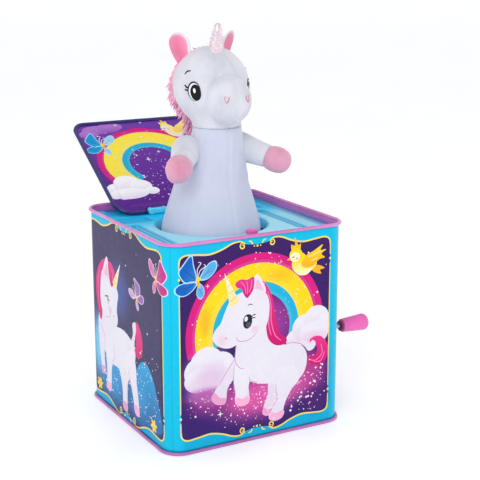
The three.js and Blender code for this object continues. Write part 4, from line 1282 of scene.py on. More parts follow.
def lid_top_picture():
    """The lid's outside, upright for someone in front of the closed box."""
    shapes = [(rounded_outline(-52, 52, 0.3, 104.2, (14, 14, 9, 9)), ramp(CYAN, DEEP_CYAN, 0, 104))]
    shapes.append((rounded_outline(-45, 45, 8, 97, (9, 9, 12, 12)), ramp(PLUM, NIGHT, 8, 80)))
    shapes += glow(MIST, 0, 40, 40, 30, 0.6)
    shapes += rainbow(0, 34, 41, (6, 11, 6), 0, 180)
    for side in (-1, 1):
        puffs = ((34, 31, 9, 7), (26, 36, 9, 8), (18, 31, 8, 6), (27, 27, 15, 6))
        shapes += cloud([(side * x, *rest) for x, *rest in puffs])
    shapes += dots(29, 90, (0, 50, 38, 38), (0.25, 0.8))
    shapes += stars(
        (0, 48, 4.5), (-11, 58, 2.6), (12, 60, 2.8), (-30, 84, 2.8), (30, 84, 2.4), (0, 86, 2.2),
    )
    border = rounded_outline(-45.5, 45.5, 7.5, 97.5, (12.4, 12.4, 9.4, 9.4))
    inner = rounded_outline(-44.7, 44.7, 8.3, 96.7, (11.8, 11.8, 8.8, 8.8))
    for corners in zip(border, border[1:] + border[:1], inner[1:] + inner[:1], inner):
        shapes.append((list(corners), flat(GOLD)))
    return moved(shapes, 0, LID_LENGTH, tilt=180)

# ------------------------------------------------------------------ tin box
#
# A wall is one sheet per side. Each runs from the middle of a rounded corner to the middle of the
# next, so two sides meet in the middle of a corner.

FLAT_HALF = RIM_HALF - RIM_CORNER
WALL_RADIUS = RIM_CORNER + WALL_OFFSET
SIDE_SHARE = FLAT_HALF + WALL_RADIUS * math.pi / 4
WALL_FOOT = 2.15
WALL_TOP = 145.6
CRANK_Z = 59.0  # the crank's axis


def wall_place(side):
    """Carries (along the wall, height) to the tin's outside. side 0 is the front, 1 the right."""
    outward = direction(side * math.pi / 2, 0)
    along = Vector((0, 0, 1)).cross(outward)

    def place(s, z):
        turn = max(abs(s) - FLAT_HALF, 0) / WALL_RADIUS
        across = math.copysign(min(abs(s), FLAT_HALF) + WALL_RADIUS * math.sin(turn), s)
        depth = RIM_HALF - RIM_CORNER + WALL_RADIUS * math.cos(turn)
        return along * across + outward * depth + Vector((0, 0, z))

    return place


def wall_points():
    """Loose points: a lattice on the flat, and close columns round the corners."""
    points = lattice(-FLAT_HALF, FLAT_HALF, WALL_FOOT, WALL_TOP, 2.6)
    columns, rows = 8, 45
    for column in range(columns):
        s = FLAT_HALF + (column + 0.02) / columns * (SIDE_SHARE - FLAT_HALF)
        for row in range(rows):
            z = WALL_FOOT + (WALL_TOP - WALL_FOOT) * (row + 0.5) / rows
            points += [(s, z), (-s, z)]
    return points


def wall_ground(x, y):
    """The blue border, deeper in colour towards the floor."""
    shade = mixed(rgb(0, 174, 214), rgb(0, 190, 226), ease(y, 0, 140))
    return (*mixed(shade, rgb(10, 198, 232), 0.6 * ease(abs(x), 56, 62)), 1.0)


def wall_outline():
    """The unrolled side, with close points along its edges so that they bend round the corners."""
    along = [-SIDE_SHARE + 2 * SIDE_SHARE * i / 104 for i in range(105)]
    up = [WALL_FOOT + (WALL_TOP - WALL_FOOT) * i / 60 for i in range(61)]
    low = [(s, WALL_FOOT) for s in along] + [(SIDE_SHARE, z) for z in up[1:]]
    high = [(s, WALL_TOP) for s in reversed(along[:-1])]
    return low + high + [(-SIDE_SHARE, z) for z in reversed(up[1:-1])]


def build_walls():
    front = (front_picture(), front_speckle)
    side = (side_picture(), side_speckle)
    edge = wall_outline()
    crank_hole = circle(4.0, 24, (0, CRANK_Z))
    walls = (
        ("wall_front", *front, False),
        ("wall_right", *side, True),
        ("wall_back", *front, True),
        ("wall_left", *side, False),
    )
    for index, (name, picture, speckle, mirror) in enumerate(walls):
        shapes = [(edge, wall_ground)] + moved(picture, mirror=mirror)
        holes = [crank_hole] if name == "wall_right" else []

        def gloss(x, y):
            return speckle(-x if mirror else x, y)

        place = wall_place(index)
        back = (TIN, INNER_LACQUER)
        wall = painted_sheet(
            name, "box", PRINT, shapes, place, wall_points(), edge, holes, gloss, back
        )
        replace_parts(wall, "body_shell")


def rim_path(offset, z):
    outline = square_outline(RIM_HALF + offset, RIM_CORNER + offset, 14)
    return [Vector((x, y, z)) for x, y in outline]


LIP_PROFILE = ((-0.6, 1.9), (-1.6, 1.9), (-1.6, 0.9))  # (offset from the rim's centre line, z)


def build_rims():
    """The two rolled beads, and the base sheet's lip that the bottom one holds."""
    top = tube(rim_path(0, BOX_TOP - RIM_RADIUS), RIM_RADIUS, 16, loop=True)
    low = tube(rim_path(0, RIM_RADIUS), RIM_RADIUS, 16, loop=True)
    lip = open_skin([rim_path(offset, z) for offset, z in LIP_PROFILE])
    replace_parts(mesh_object("top_rim", *top, PINK_LACQUER, "box"), "body_shell")
    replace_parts(mesh_object("bottom_rim", *joined(low, lip), ROSE_LACQUER, "box"), "base_plate")


BASE_HALF = RIM_HALF - 1.2
BASE_CORNER = RIM_CORNER - 1.2
BASE_OPENINGS = (  # left, right, low, high, corner
    (-25.9, 25.9, 18.1, 49.9, 2.6),  # battery door
    (-4.5, 4.5, -47.0, -43.0, 0.6),  # switch
)
RIVET_X = 8
RIVET_HOLE = 2.7


def build_base_sheet():
    """The tin underneath, with its openings for the battery door, the switch and two rivets."""
    outline = square_outline(BASE_HALF, BASE_CORNER)
    holes = [circle(RIVET_HOLE, 20, (x, 0)) for x in (-RIVET_X, RIVET_X)]
    for left, right, low, high, corner in BASE_OPENINGS:
        holes.append(rounded_outline(left, right, low, high, [corner] * 4, 5))

    def place(x, y):
        edge = rounded_distance(x, y, -BASE_HALF, BASE_HALF, -BASE_HALF, BASE_HALF, BASE_CORNER)
        return Vector((x, y, 0.9 + 0.9 * ease(edge, -5.5, -3.2)))

    def paint(x, y):
        share = 0.5 + 0.5 * math.sin(x * 0.02 + y * 0.013)
        return (*mixed(rgb(206, 112, 184), rgb(226, 138, 202), share), 1.0)

    extra = lattice(-BASE_HALF, BASE_HALF, -BASE_HALF, BASE_HALF, 5)
    shapes = [(outline, paint)]
    back = (0.7, PINK_LACQUER)
    sheet = painted_sheet(
        "base_sheet", "box", PRINT, shapes, place, extra, outline, holes, None, back
    )
    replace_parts(sheet, "base_plate")


build_walls()
build_rims()
build_base_sheet()

# ------------------------------------------------------------------ deck

DECK_HALF = RIM_HALF - 1.75
DECK_CORNER = RIM_CORNER - 1.75
FLANGE_TOP = 142.0  # the deck's edge, where it meets the tin
COLLAR_FOOT = 132.4
GROOVE_X = 51.5
GROOVE_HALF = 4.0
GROOVE_LOW = -44.0
GROOVE_HIGH = 22.0
GROOVE_DEPTH = 1.5
RIDGE_HALF = 0.9
RIDGE_HEIGHT = 1.3
POCKET = (32, 60, 27, 45, 3.0)  # left, right, low, high, corner of the right one
POCKET_DEPTH = 1.3
POCKET_RIBS = ((30, 33), (37.5, 40.5))  # low, high
BEAD_HALF = 61.5
LATCH_LUGS = ((-14, -11), (36, 39))  # left, right
SLOT = (-6.7, 1.7, -65.8, -53.8)  # left, right, low, high of the latch's opening


def groove_depth(x, y):
    """Long side grooves with a ridge in each, and a ribbed pocket by each end of the hinge."""

    def inside(left, right, low, high, corner, start, end):
        """1 inside a rounded rectangle on either side of the deck, 0 outside it."""
        return 1 - ease(rounded_distance(abs(x), y, left, right, low, high, corner), start, end)

    left, right = GROOVE_X - GROOVE_HALF, GROOVE_X + GROOVE_HALF
    groove = GROOVE_DEPTH * inside(left, right, GROOVE_LOW, GROOVE_HIGH, 3.9, -0.9, 0.1)
    left, right = GROOVE_X - RIDGE_HALF, GROOVE_X + RIDGE_HALF
    groove -= RIDGE_HEIGHT * inside(left, right, GROOVE_LOW + 4, GROOVE_HIGH - 4, 0.8, -0.5, 0.5)
    pocket = POCKET_DEPTH * inside(*POCKET, -1.0, 0.1)
    for low, high in POCKET_RIBS:
        pocket -= 1.0 * inside(35, 57, low, high, 1.2, -0.6, 0.5)
    return max(groove, pocket)


def raised_bead(x, y):
    """A bead round the plate."""
    ring = rounded_distance(x, y, -BEAD_HALF, BEAD_HALF, -BEAD_HALF, BEAD_HALF, 8.0)
    return 0.5 * (1 - ease(abs(ring), 0.5, 1.3))


def deck_edge(x, y):
    """How far (x, y) is inside the deck's own edge."""
    return -rounded_distance(x, y, -DECK_HALF, DECK_HALF, -DECK_HALF, DECK_HALF, DECK_CORNER)


def deck_height(x, y):
    edge = deck_edge(x, y)
    if edge < 2.8:
        return FLANGE_TOP - 1.6 * ease(edge, 0.9, 3.0)
    lip = -0.8 * (1 - ease(math.hypot(x, y) - HOLE_RADIUS, 0, 1.6))
    return DECK_TOP + raised_bead(x, y) - groove_depth(x, y) + lip


def deck_tone_and_painted_light(x, y):
    """Pale plastic, deeper cyan towards the hinge. Painted shade darkens the grooves, the pockets and
    the sloped flange, less so the ridges, and a painted highlight pales the raised bead.
    """
    # painted highlight on the raised bead
    tone = mixed(rgb(162, 238, 255), rgb(206, 250, 255), 1.4 * raised_bead(x, y))
    tone = mixed(tone, rgb(18, 206, 255), ease(y, -2, 38))
    # painted shade on the sloped flange by the tin
    tone = mixed(rgb(104, 184, 246), tone, ease(deck_edge(x, y), 2.4, 4.2))
    # painted shade in the grooves and pockets, by their depth
    return (*mixed(tone, rgb(20, 164, 224), groove_depth(x, y) / 1.2), 1.0)


def build_deck():
    outline = square_outline(DECK_HALF, DECK_CORNER, 12)
    extra = []
    for inset in (0.5, 0.95, 1.5, 2.2, 3.0):
        extra += square_outline(DECK_HALF - inset, DECK_CORNER - inset, 12)
    extra += lattice(-64, 64, -64, 64, 1.45)
    for step in (0.5, 1.1, 1.7):
        extra += circle(HOLE_RADIUS + step, 96)
    extra = [p for p in extra if math.hypot(*p) > HOLE_RADIUS + 0.3]
    holes = [circle(HOLE_RADIUS, 96), rounded_outline(*SLOT, [1.2] * 4, 5)]

    def place(x, y):
        return Vector((x, y, deck_height(x, y)))

    shapes = [(outline, deck_tone_and_painted_light)]
    back = (1.6, DECK_PLASTIC_PAINTED_GLOW)
    plate = painted_sheet(
        "deck_plate", "box", DECK_PRINT, shapes, place, extra, outline, holes, None, back
    )
    collar = ((0, DECK_TOP - 0.8), (-0.05, COLLAR_FOOT), (1.4, COLLAR_FOOT), (1.5, 139.0))
    rings = [[Vector((x, y, z)) for x, y in circle(HOLE_RADIUS + step, 96)] for step, z in collar]
    parts = [open_skin(rings)]
    for low_x, high_x in LATCH_LUGS:
        parts.append(bevelled_block((low_x, -64.4, 114), (high_x, -56.4, 138.9), 0.6))
    below = mesh_object("deck_collar", *joined(*parts), DECK_PLASTIC_PAINTED_GLOW, "box")
    for piece in (plate, below):
        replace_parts(piece, "deck")


def build_hinge_tab(name, x):
    """A tab that holds the lid's pin, with a rounded top and a rib each side."""
    parts = [bevelled_block((x - 8, 45.2, 140.5), (x + 8, 50.9, 144.7), 1.3)]
    for rib in (x - 5.6, x + 5.6):
        parts.append(bevelled_block((rib - 1.1, 44.6, 140.4), (rib + 1.1, 51.4, 144.9), 0.7))
    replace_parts(mesh_object(name + "_moulded", *joined(*parts), TAB_PLASTIC, "box"), name)


build_deck()
build_hinge_tab("hinge_tab_left", -TAB_X)
build_hinge_tab("hinge_tab_right", TAB_X)

# ------------------------------------------------------------------ lid
#
# Drawn closed, as (x, distance from the hinge, height over the hinge), then turned open.

LID_TURN = Matrix.Rotation(-LID_OPEN, 4, "X")
EMBOSS_INSET = 10.0
EMBOSS_CORNER = 12.0
NOTCH_HALF = 8.6  # the lid's notches round the hinge tabs


def lid_point(x, u, height):
    """Where a point of the closed lid is when it stands open."""
    return HINGE + LID_TURN @ Vector((x, -u, height))


def lid_ring(inset, radii, steps):
    return rounded_outline(inset - LID_HALF, LID_HALF - inset, inset, LID_LENGTH - inset, radii, steps)


def lid_outline(inset, steps=10):
    near, far = LID_NEAR_CORNER - inset, LID_FAR_CORNER - inset
    return lid_ring(inset, [near, near, far, far], steps)


def emboss(x, u):
    """A pressed line that follows the lid's edge, raised by the closed lid's outside."""
    inside = -rounded_distance(x, u, -LID_HALF, LID_HALF, 0, LID_LENGTH, EMBOSS_CORNER)
    line = 1 - ease(abs(inside - EMBOSS_INSET), 0.3, 1.2)
    return 0.9 * line + 0.4 * ease(inside, EMBOSS_INSET, EMBOSS_INSET + 1.2)


def lid_sheet(name, picture, height):
    extra = lid_outline(1.0) + lid_outline(1.8)
    extra += lattice(-LID_HALF + 1, LID_HALF - 1, 1, LID_LENGTH - 1, 2.1)
    for step in (-1.6, -1.0, -0.5, 0, 0.5, 1.0, 1.6):
        inset = EMBOSS_INSET + step
        extra += lid_ring(inset, [max(EMBOSS_CORNER - inset, 1)] * 4, 4)
    notches = []
    for x in (-TAB_X, TAB_X):
        notches.append(rounded_outline(x - NOTCH_HALF, x + NOTCH_HALF, -2, 4.6, [1.5] * 4, 4))

    def place(x, u):
        return lid_point(x, u, height + emboss(x, u))

    sheet = painted_sheet(
        name, "lid", PRINT, picture, place, extra, lid_outline(0.4), notches, lid_speckle,
    )
    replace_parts(sheet, "lid_panel")
    return sheet


def lid_speckle(x, u):
    return 0.08 if abs(x) < 42 and 10 < u < 95 else 0.0


def build_lid_edge():
    """The rolled edge: one run from each tab's notch round to the other, and one between them."""
    gap = NOTCH_HALF + 0.2
    run = [p for p in lid_outline(0, 14) if p[1] > 0.01 or abs(p[0]) >= TAB_X + NOTCH_HALF]
    start = next(i for i, p in enumerate(run) if p[0] > 0 and p[1] < 0.01)
    long_run = [(TAB_X + gap, 0.0)] + run[start:] + run[:start] + [(-TAB_X - gap, 0.0)]
    between = [(x, 0.0) for x in (gap - TAB_X, -6, 0, 6, TAB_X - gap)]
    parts = []
    for path in (long_run, between):
        parts.append(tube([lid_point(x, u, 0.2) for x, u in path], LID_EDGE, 14))
    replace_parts(mesh_object("lid_edge", *joined(*parts), NAVY_LACQUER, "lid"), "lid_panel")


lid_sheet("lid_inside", lid_picture(), 0.5).data.flip_normals()
lid_sheet("lid_outside", lid_top_picture(), 1.25)
build_lid_edge()

# ------------------------------------------------------------------ latch and crank

LATCH_X = -2.5
LATCH_HALF = 3.5
CRANK_ARM_X = 78.0
CRANK_REACH = 37.0  # from the crank's axis to the knob's
KNOB_X = 89.0


def along_x(x, y, z):
    """Turns something drawn round Z so that it points along X from a place."""
    return Matrix.Translation((x, y, z)) @ Matrix.Rotation(math.pi / 2, 4, "Y")


def build_latch_hook():
    """A moulded hook: hub on the shaft, stem up through the slot, and a nose over the lid's edge."""
    left, right = LATCH_X - LATCH_HALF, LATCH_X + LATCH_HALF
    stem = bevelled_block((left, -65.0, 116.5), (right, -62.4, 148.6), 0.9)
    nose = bevelled_block((left, -64.8, 145.2), (right, -58.5, 148.8), 1.3)
    hub_profile = ((1.3, -LATCH_HALF), (3.2, -LATCH_HALF), (3.2, LATCH_HALF), (1.3, LATCH_HALF))
    hub = turned(hub_profile, 32, along_x(LATCH_X, -60.4, 118), loop=True)
    return mesh_object("latch_hook_moulded", *joined(stem, nose, hub), PINK_PLASTIC, "latch")


def build_crank_wire():
    """Bent wire: in through the bushing, down the arm, and out through the knob."""
    bend = 4.0
    path = [(46.5, 0), (60, 0), (CRANK_ARM_X - bend, 0)]
    for sin, cos in quarter_turn(8)[1:]:
        path.append((CRANK_ARM_X - bend + bend * sin, -bend + bend * cos))
    path.append((CRANK_ARM_X, -18))
    for sin, cos in quarter_turn(8):
        path.append((CRANK_ARM_X + bend - bend * cos, -CRANK_REACH + bend - bend * sin))
    path += [(95, -CRANK_REACH), (108, -CRANK_REACH)]
    wire = tube([Vector((x, y, CRANK_Z)) for x, y in path], 1.5, 20)
    return mesh_object("crank_wire_smooth", *wire, STEEL, "crank")


def build_knob():
    """Tapered knob with a rounded end and shallow waist lines."""
    profile = [(1.6, 0.0), (4.6, 0.0), (5.0, 0.5), (5.05, 2.0), (4.85, 2.5), (5.15, 3.0)]
    for step in range(9):
        share = step / 8
        profile.append((5.2 + 1.05 * share, 3.6 + 15.4 * share))
    for sin, cos in quarter_turn(7)[1:]:
        profile.append((6.25 - 2.6 * (1 - cos), 19.0 + 3.0 * sin))
    profile += [(2.4, 22.0), (0.01, 22.0)]
    knob = turned(profile, 48, along_x(KNOB_X, -CRANK_REACH, CRANK_Z))
    return mesh_object("crank_knob_moulded", *knob, PINK_PLASTIC, "knob")


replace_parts(build_latch_hook(), "latch_hook")
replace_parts(build_crank_wire(), "crank_wire")
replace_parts(build_knob(), "crank_knob")

# ------------------------------------------------------------------ puppet's head

HEAD_MIDDLE = np.array((0.0, -4.0, 236.0))  # every part of the head's skin can be seen from here
NECK_RADIUS = 17.2
NECK_LEAN = Vector((2.4, -4.0, 0))  # the neck sits a little forward and to one side


def ellipsoid_distance(points, centre, half):
    near = (points - np.array(centre)) / np.array(half)
    reach = np.linalg.norm(near, axis=1)
    slope = np.linalg.norm(near / np.array(half), axis=1) + 1e-9
    return reach * (reach - 1) / slope


def neck_distance(points):
    across = np.hypot(points[:, 0] - NECK_LEAN.x, points[:, 1] - NECK_LEAN.y) - NECK_RADIUS
    return np.maximum(across, points[:, 2] - 224.0)


def smooth_union(first, second, width):
    share = np.clip(0.5 + 0.5 * (second - first) / width, 0, 1)
    return second + (first - second) * share - width * share * (1 - share)


def head_distance(points):
    skull = ellipsoid_distance(points, HEAD_CENTRE, HEAD_HALF)
    muzzle = ellipsoid_distance(points, MUZZLE_CENTRE, MUZZLE_HALF)
    return smooth_union(smooth_union(skull, muzzle, 3.5), neck_distance(points), 4.0)


def head_reach(directions):
    """How far the head's skin is from HEAD_MIDDLE along each direction."""
    low = np.zeros(len(directions))
    high = np.full(len(directions), 60.0)
    for _ in range(26):
        middle = (low + high) / 2
        inside = head_distance(HEAD_MIDDLE + directions * middle[:, None]) < 0
        low = np.where(inside, middle, low)
        high = np.where(inside, high, middle)
    return (low + high) / 2


def on_head(points):
    """Points moved onto the head's skin, away from or towards its middle."""
    away = np.array(points, float) - HEAD_MIDDLE
    away /= np.linalg.norm(away, axis=1)[:, None]
    return HEAD_MIDDLE + away * head_reach(away)[:, None]


def dense(points):
    """Sixty evenly spread points along a line of 3-D points."""
    points = np.array(points, float)
    at = np.linspace(0, len(points) - 1, 60)
    return np.stack([np.interp(at, range(len(points)), points[:, axis]) for axis in range(3)], axis=1)


CHIN_SEAM = ((0, -38, 247), (0, -42, 240), (0, -44, 230), (0, -42, 221), (0, -34, 214), (0, -22, 211))
BROW_SEAM = ((4.5, -12, 266), (6.5, -20, 262), (9, -27, 254), (12.5, -30, 246), (15, -27, 240))
CROWN_SEAM = ((6, 2, 268), (15, 4, 264), (25, 6, 252), (29, 7, 238), (24, 6, 222))


def head_seams():
    """Lines where the plush is sewn, as points on the skin."""
    paths = [dense(CHIN_SEAM)]
    for side in (-1, 1):
        paths += [dense(seam) * (side, 1, 1) for seam in (BROW_SEAM, CROWN_SEAM)]
    return on_head(np.concatenate(paths))


def seam_dip(points):
    """How deep each point lies in the grooves along the seams."""
    seams = head_seams()
    gap = np.full(len(points), 99.0)
    chunk = 50
    for start in range(0, len(seams), chunk):
        gaps = np.linalg.norm(points[:, None, :] - seams[None, start : start + chunk, :], axis=2)
        gap = np.minimum(gap, gaps.min(axis=1))
    return 0.55 * np.exp(-((gap / 0.75) ** 2)) + 0.3 * np.exp(-((gap / 2.6) ** 2))


def add_head():
    made = bmesh.new()
    bmesh.ops.create_icosphere(made, subdivisions=6, radius=1)
    directions = np.array([v.co.normalized() for v in made.verts])
    faces = [tuple(v.index for v in f.verts) for f in made.faces]
    made.free()
    points = HEAD_MIDDLE + directions * head_reach(directions)[:, None]
    dip = seam_dip(points)
    skull = ellipsoid_distance(points, HEAD_CENTRE, HEAD_HALF)
    muzzle = ellipsoid_distance(points, MUZZLE_CENTRE, MUZZLE_HALF)
    above = np.clip((points[:, 2] - 222) / 14, 0, 1)
    dip += 1.3 * above * np.exp(-(((skull - muzzle) / 1.5) ** 2)) * (points[:, 1] < -12)
    for i, point in enumerate(points):
        spot = Vector(point) * 0.055
        dip[i] += 0.55 * noise.noise(spot) + 0.16 * noise.noise(spot * 4.1)
    points = points - directions * dip[:, None]
    points[:, 2] = np.maximum(points[:, 2], NECK_Z + 0.3)
    piece = mesh_object("plush_head", points, faces, WHITE_PLUSH, "puppet")
    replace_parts(piece, "head")
    return piece


head = add_head()
HEAD_SKIN = BVHTree.FromPolygons(
    [v.co / MM for v in head.data.vertices], [tuple(p.vertices) for p in head.data.polygons]
)
DECAL_LIFT = 0.28


def on_skin(centre, outward):
    """Carries (x, y), seen from outside, onto the head's skin round a point."""
    outward = outward.normalized()
    across = Vector((0, 0, 1)).cross(outward).normalized()
    up = outward.cross(across)

    def place(x, y):
        start = centre + outward * 20 + across * x + up * y
        hit = HEAD_SKIN.ray_cast(start, -outward)[0]
        return (hit or start - outward * 20) + outward * DECAL_LIFT

    return place


def add_decal(name, shapes, centre, outward):
    """Embroidery on the head, with loose points so that it bends with the skin under it."""
    spots = [p for outline, _ in shapes for p in outline]
    low_x, high_x = min(p[0] for p in spots), max(p[0] for p in spots)
    low_y, high_y = min(p[1] for p in spots), max(p[1] for p in spots)
    extra = lattice(low_x, high_x, low_y, high_y, 0.9)
    place = on_skin(Vector(centre), Vector(outward))
    piece = painted_sheet(name, "puppet", EMBROIDERY, shapes, place, extra, back=(0.25, EMBROIDERY))
    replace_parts(piece, "head")


def eye_shapes():
    """The eye and brow at the left, as seen from in front: outer corner to the left."""
    return [
        (ellipse(-0.9, 0.5, 4.9, 6.75, 8, 44), flat(INK)),
        (ellipse(-0.6, 0.1, 4.3, 6.1, 8, 44), flat(rgb(234, 234, 240))),
        (ellipse(0.3, -0.35, 3.9, 5.6, 8, 40), flat(rgb(16, 15, 20))),
        (ellipse(-0.5, 1.0, 0.9, 1.7, 8, 24), flat(rgb(250, 250, 252))),
        (stroke(((-5.0, 2.6), (-6.6, 3.0), (-8.4, 4.5)), 1.1), flat(INK)),
        (stroke(((-5.4, 1.3), (-6.6, 1.0), (-8.2, 1.4)), 1.1), flat(INK)),
        (stroke(((-9.0, 11.6), (-7.6, 13.6), (-4.8, 14.1)), 0.85, 0.5), flat(INK)),
    ]


def nostril_shapes():
    loop = ((-0.4, -2.3), (-1.5, 0.2), (-1.3, 2.0), (-0.3, 1.7))
    hook = ((-0.4, -2.3), (0.9, -0.9), (1.5, 0.9), (1.3, 2.2))
    return [
        (stroke(loop, 0.5, 0.6), flat(rgb(240, 146, 180))),
        (stroke(hook, 0.5, 0.6), flat(rgb(208, 122, 152))),
    ]


def add_face():
    """Each mark is drawn for the left of the face and mirrored for the right."""
    marks = (  # name, shapes, place, the way it faces
        ("eye_", eye_shapes(), (20.9, -16.4, 237.2), (0.8, -0.6, 0.02)),
        ("nostril_", nostril_shapes(), (8.4, -38.5, 233.4), (0.5, -0.86, 0.1)),
    )
    for side, name in ((-1, "left"), (1, "right")):
        for mark, shapes, (x, y, z), (out_x, out_y, out_z) in marks:
            drawn = moved(shapes, mirror=side > 0)
            add_decal(mark + name, drawn, (side * x, y, z), (side * out_x, out_y, out_z))


add_face()

# ------------------------------------------------------------------ ears, horn and mane

EAR_ROOT = Vector((14.9, 11.4, 252.6))
EAR_HEIGHT = 24.2
EAR_HALF = 7.4
EAR_HEIGHTS = (0.0, 0.15, 0.3, 0.45, 0.6, 0.72, 0.82, 0.9, 0.96, 1.0)
EAR_WIDTHS = (0.5, 0.64, 0.8, 0.93, 1.0, 0.98, 0.88, 0.7, 0.46, 0.12)
EAR_PINK = rgb(246, 150, 184)
EAR_FOLD_PAINTED_SHADE = rgb(234, 122, 158)
EAR_WHITE = rgb(238, 238, 245)
HORN_ROOT = Vector((0, -7, 262))
HORN_TILT = math.radians(10)
HORN_PROFILE = (  # (radius, height)
    (6.0, -5.0), (5.9, 0.0), (5.5, 4.0), (4.85, 8.0), (4.1, 12.0),
    (3.4, 15.5), (2.75, 18.0), (1.95, 19.9), (0.8, 20.8),
)


def add_ear(name, node, side):
    """A cupped leaf of plush: white outside, pink inside with a white rim, and painted shade in the cup.
    """
    rows, columns = 26, 22
    width = columns + 1
    place = Matrix.Translation(EAR_ROOT * Vector((side, 1, 1)))
    for degrees, axis in ((12, "Y"), (38, "Z")):
        place = place @ Matrix.Rotation(math.radians(side * degrees), 4, axis)
    fronts, backs, dyes = [], [], []
    for row in range(rows + 1):
        t = row / rows
        half = EAR_HALF * float(np.interp(t, EAR_HEIGHTS, EAR_WIDTHS))
        for column in range(width):
            v = 2 * column / columns - 1
            x = half * math.sin(v * math.pi / 2)
            cup = 2.6 * (1 - v * v) * math.sin(math.pi * (0.1 + 0.8 * t)) ** 0.7
            y = cup - 1.4 - 2.2 * t * t
            z = EAR_HEIGHT * t
            thick = 0.5 + 1.3 * (1 - v * v) ** 0.5
            swell = 0.35 + 0.65 * math.sin(math.pi * min(1, 0.12 + 0.88 * t))
            fronts.append(place @ Vector((x, y, z)))
            backs.append(place @ Vector((x, y + thick * swell, z)))
            off_patch = ((v - side * 0.24) / 0.76) ** 4 + ((t - 0.42) / 0.54) ** 4
            # the pink is darker towards its middle: painted shade in the ear's cup
            pink = mixed(EAR_FOLD_PAINTED_SHADE, EAR_PINK, 1.6 * abs(v - side * 0.2) + 0.5 * abs(t - 0.4))
            dyes.append((*linear(mixed(pink, EAR_WHITE, ease(off_patch, 0.3, 1.3))), 1))
    count = len(fronts)
    corners = [row * width + column for row in range(rows) for column in range(columns)]
    faces = [(low, low + 1, low + 1 + width, low + width) for low in corners]
    faces += [tuple(count + i for i in reversed(face)) for face in faces]
    border = list(range(width))
    border += [r * width + columns for r in range(1, rows + 1)]
    border += [rows * width + c for c in range(columns - 1, -1, -1)]
    border += [r * width for r in range(rows - 1, 0, -1)]
    for a, b in zip(border, border[1:] + border[:1]):
        faces.append((b, a, a + count, b + count))
    ear = mesh_object(name, fronts + backs, faces, EAR_PLUSH, "puppet")
    dyes += [(*linear(EAR_WHITE), 1)] * count
    dye_layer = ear.data.color_attributes.new("paint", "FLOAT_COLOR", "POINT")
    dye_layer.data.foreach_set("color", [c for dye in dyes for c in dye])
    apply_modifier(ear, "SUBSURF", levels=1, render_levels=1)
    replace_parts(ear, node)


def add_horn():
    """A stuffed cone of glitter cloth with a seam up its back."""
    at = np.linspace(0, len(HORN_PROFILE) - 1, 48)
    radii, heights = (np.interp(at, range(len(HORN_PROFILE)), column) for column in zip(*HORN_PROFILE))
    place = Matrix.Translation(HORN_ROOT) @ Matrix.Rotation(HORN_TILT, 4, "X")
    rings = []
    for radius, z in zip(radii, heights):
        ring = []
        for c, s in circle(1, 40):
            pinch = 1 - 0.12 * math.exp(-((math.atan2(c, s) / 0.18) ** 2))
            swell = 1 + 0.05 * noise.noise(Vector((c, s, z * 0.25)))
            ring.append(place @ Vector((c * radius * pinch * swell, s * radius * pinch * swell, z)))
        rings.append(ring)
    horn = mesh_object("glitter_horn", *skin(rings), GLITTER, "puppet")
    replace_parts(horn, "horn")


NAPE_CENTRE = Vector((0, 18.0, 214.0))
NAPE_HALF = Vector((10.0, 7.0, 14.0))
HEAD_TUFTS = 1500
NAPE_TUFTS = 330
HAIRLINE = 9.0  # the mane covers the head behind this y
MANE_DEPTH = 2.2


def scalp_point(tilt, turn):
    """A point of the cap behind the head, tilt away from straight back, and the way out of it."""
    across = math.sin(tilt)
    outward = Vector((across * math.cos(turn), math.cos(tilt), across * math.sin(turn)))
    point = HEAD_SKIN.ray_cast(Vector(HEAD_MIDDLE), outward)[0]
    thick = MANE_DEPTH * ease(point.y, HAIRLINE - 1, HAIRLINE + 7) - 0.6
    return point + outward * thick, outward


def nape_point(unit, reach=1.0):
    """A point of the pad under the nape's hair, in one direction from its middle."""
    return NAPE_CENTRE + Vector(u * h for u, h in zip(unit, NAPE_HALF)) * reach


def hair_spots(draw):
    """Where tufts grow: (root, outward, length), on the back of the head and down the nape."""
    spots = []
    while len(spots) < HEAD_TUFTS:
        point, outward = scalp_point(math.acos(draw.uniform(0.1, 1)), draw.uniform(0, TAU))
        ragged = HAIRLINE + 1.5 + 3.0 * noise.noise(Vector((point.x, 0, point.z)) * 0.13)
        if point.y > ragged and point.z > 215:
            spots.append((point, outward, draw.uniform(3.4, 7.0)))
    for _ in range(NAPE_TUFTS):
        turn = draw.uniform(-0.2, math.pi + 0.2)
        z = draw.uniform(-0.9, 0.8)
        reach = math.sqrt(1 - z * z)
        unit = Vector((reach * math.cos(turn), reach * math.sin(turn), z))
        spots.append((nape_point(unit), unit, draw.uniform(4.5, 8.0)))
    return spots


def tuft(root, outward, length, draw):
    """A curved spike that leaves the skin and falls down and back."""
    lean = Vector((draw.uniform(-0.35, 0.35), 0.1, -0.62 + draw.uniform(-0.2, 0.2)))
    crown = ease(outward.z, 0.7, 0.95)
    aim_at = (outward * (0.3 + 0.6 * crown) + lean * (1 - 0.5 * crown)).normalized()
    fall = Vector((0, 0, -0.3))
    side = aim_at.cross(outward if abs(aim_at.dot(outward)) < 0.98 else Vector((1, 0, 0))).normalized()
    rings = []
    for share, radius in ((0.0, 1.2), (0.3, 1.15), (0.6, 0.8), (0.85, 0.38), (1.0, 0.04)):
        point = root - outward * 1.0 + aim_at * length * share + fall * length * share * share
        lift = aim_at.cross(side)
        rings.append([point + (side * c + lift * s * 0.7) * radius for c, s in circle(1, 4)])
    return skin(rings)


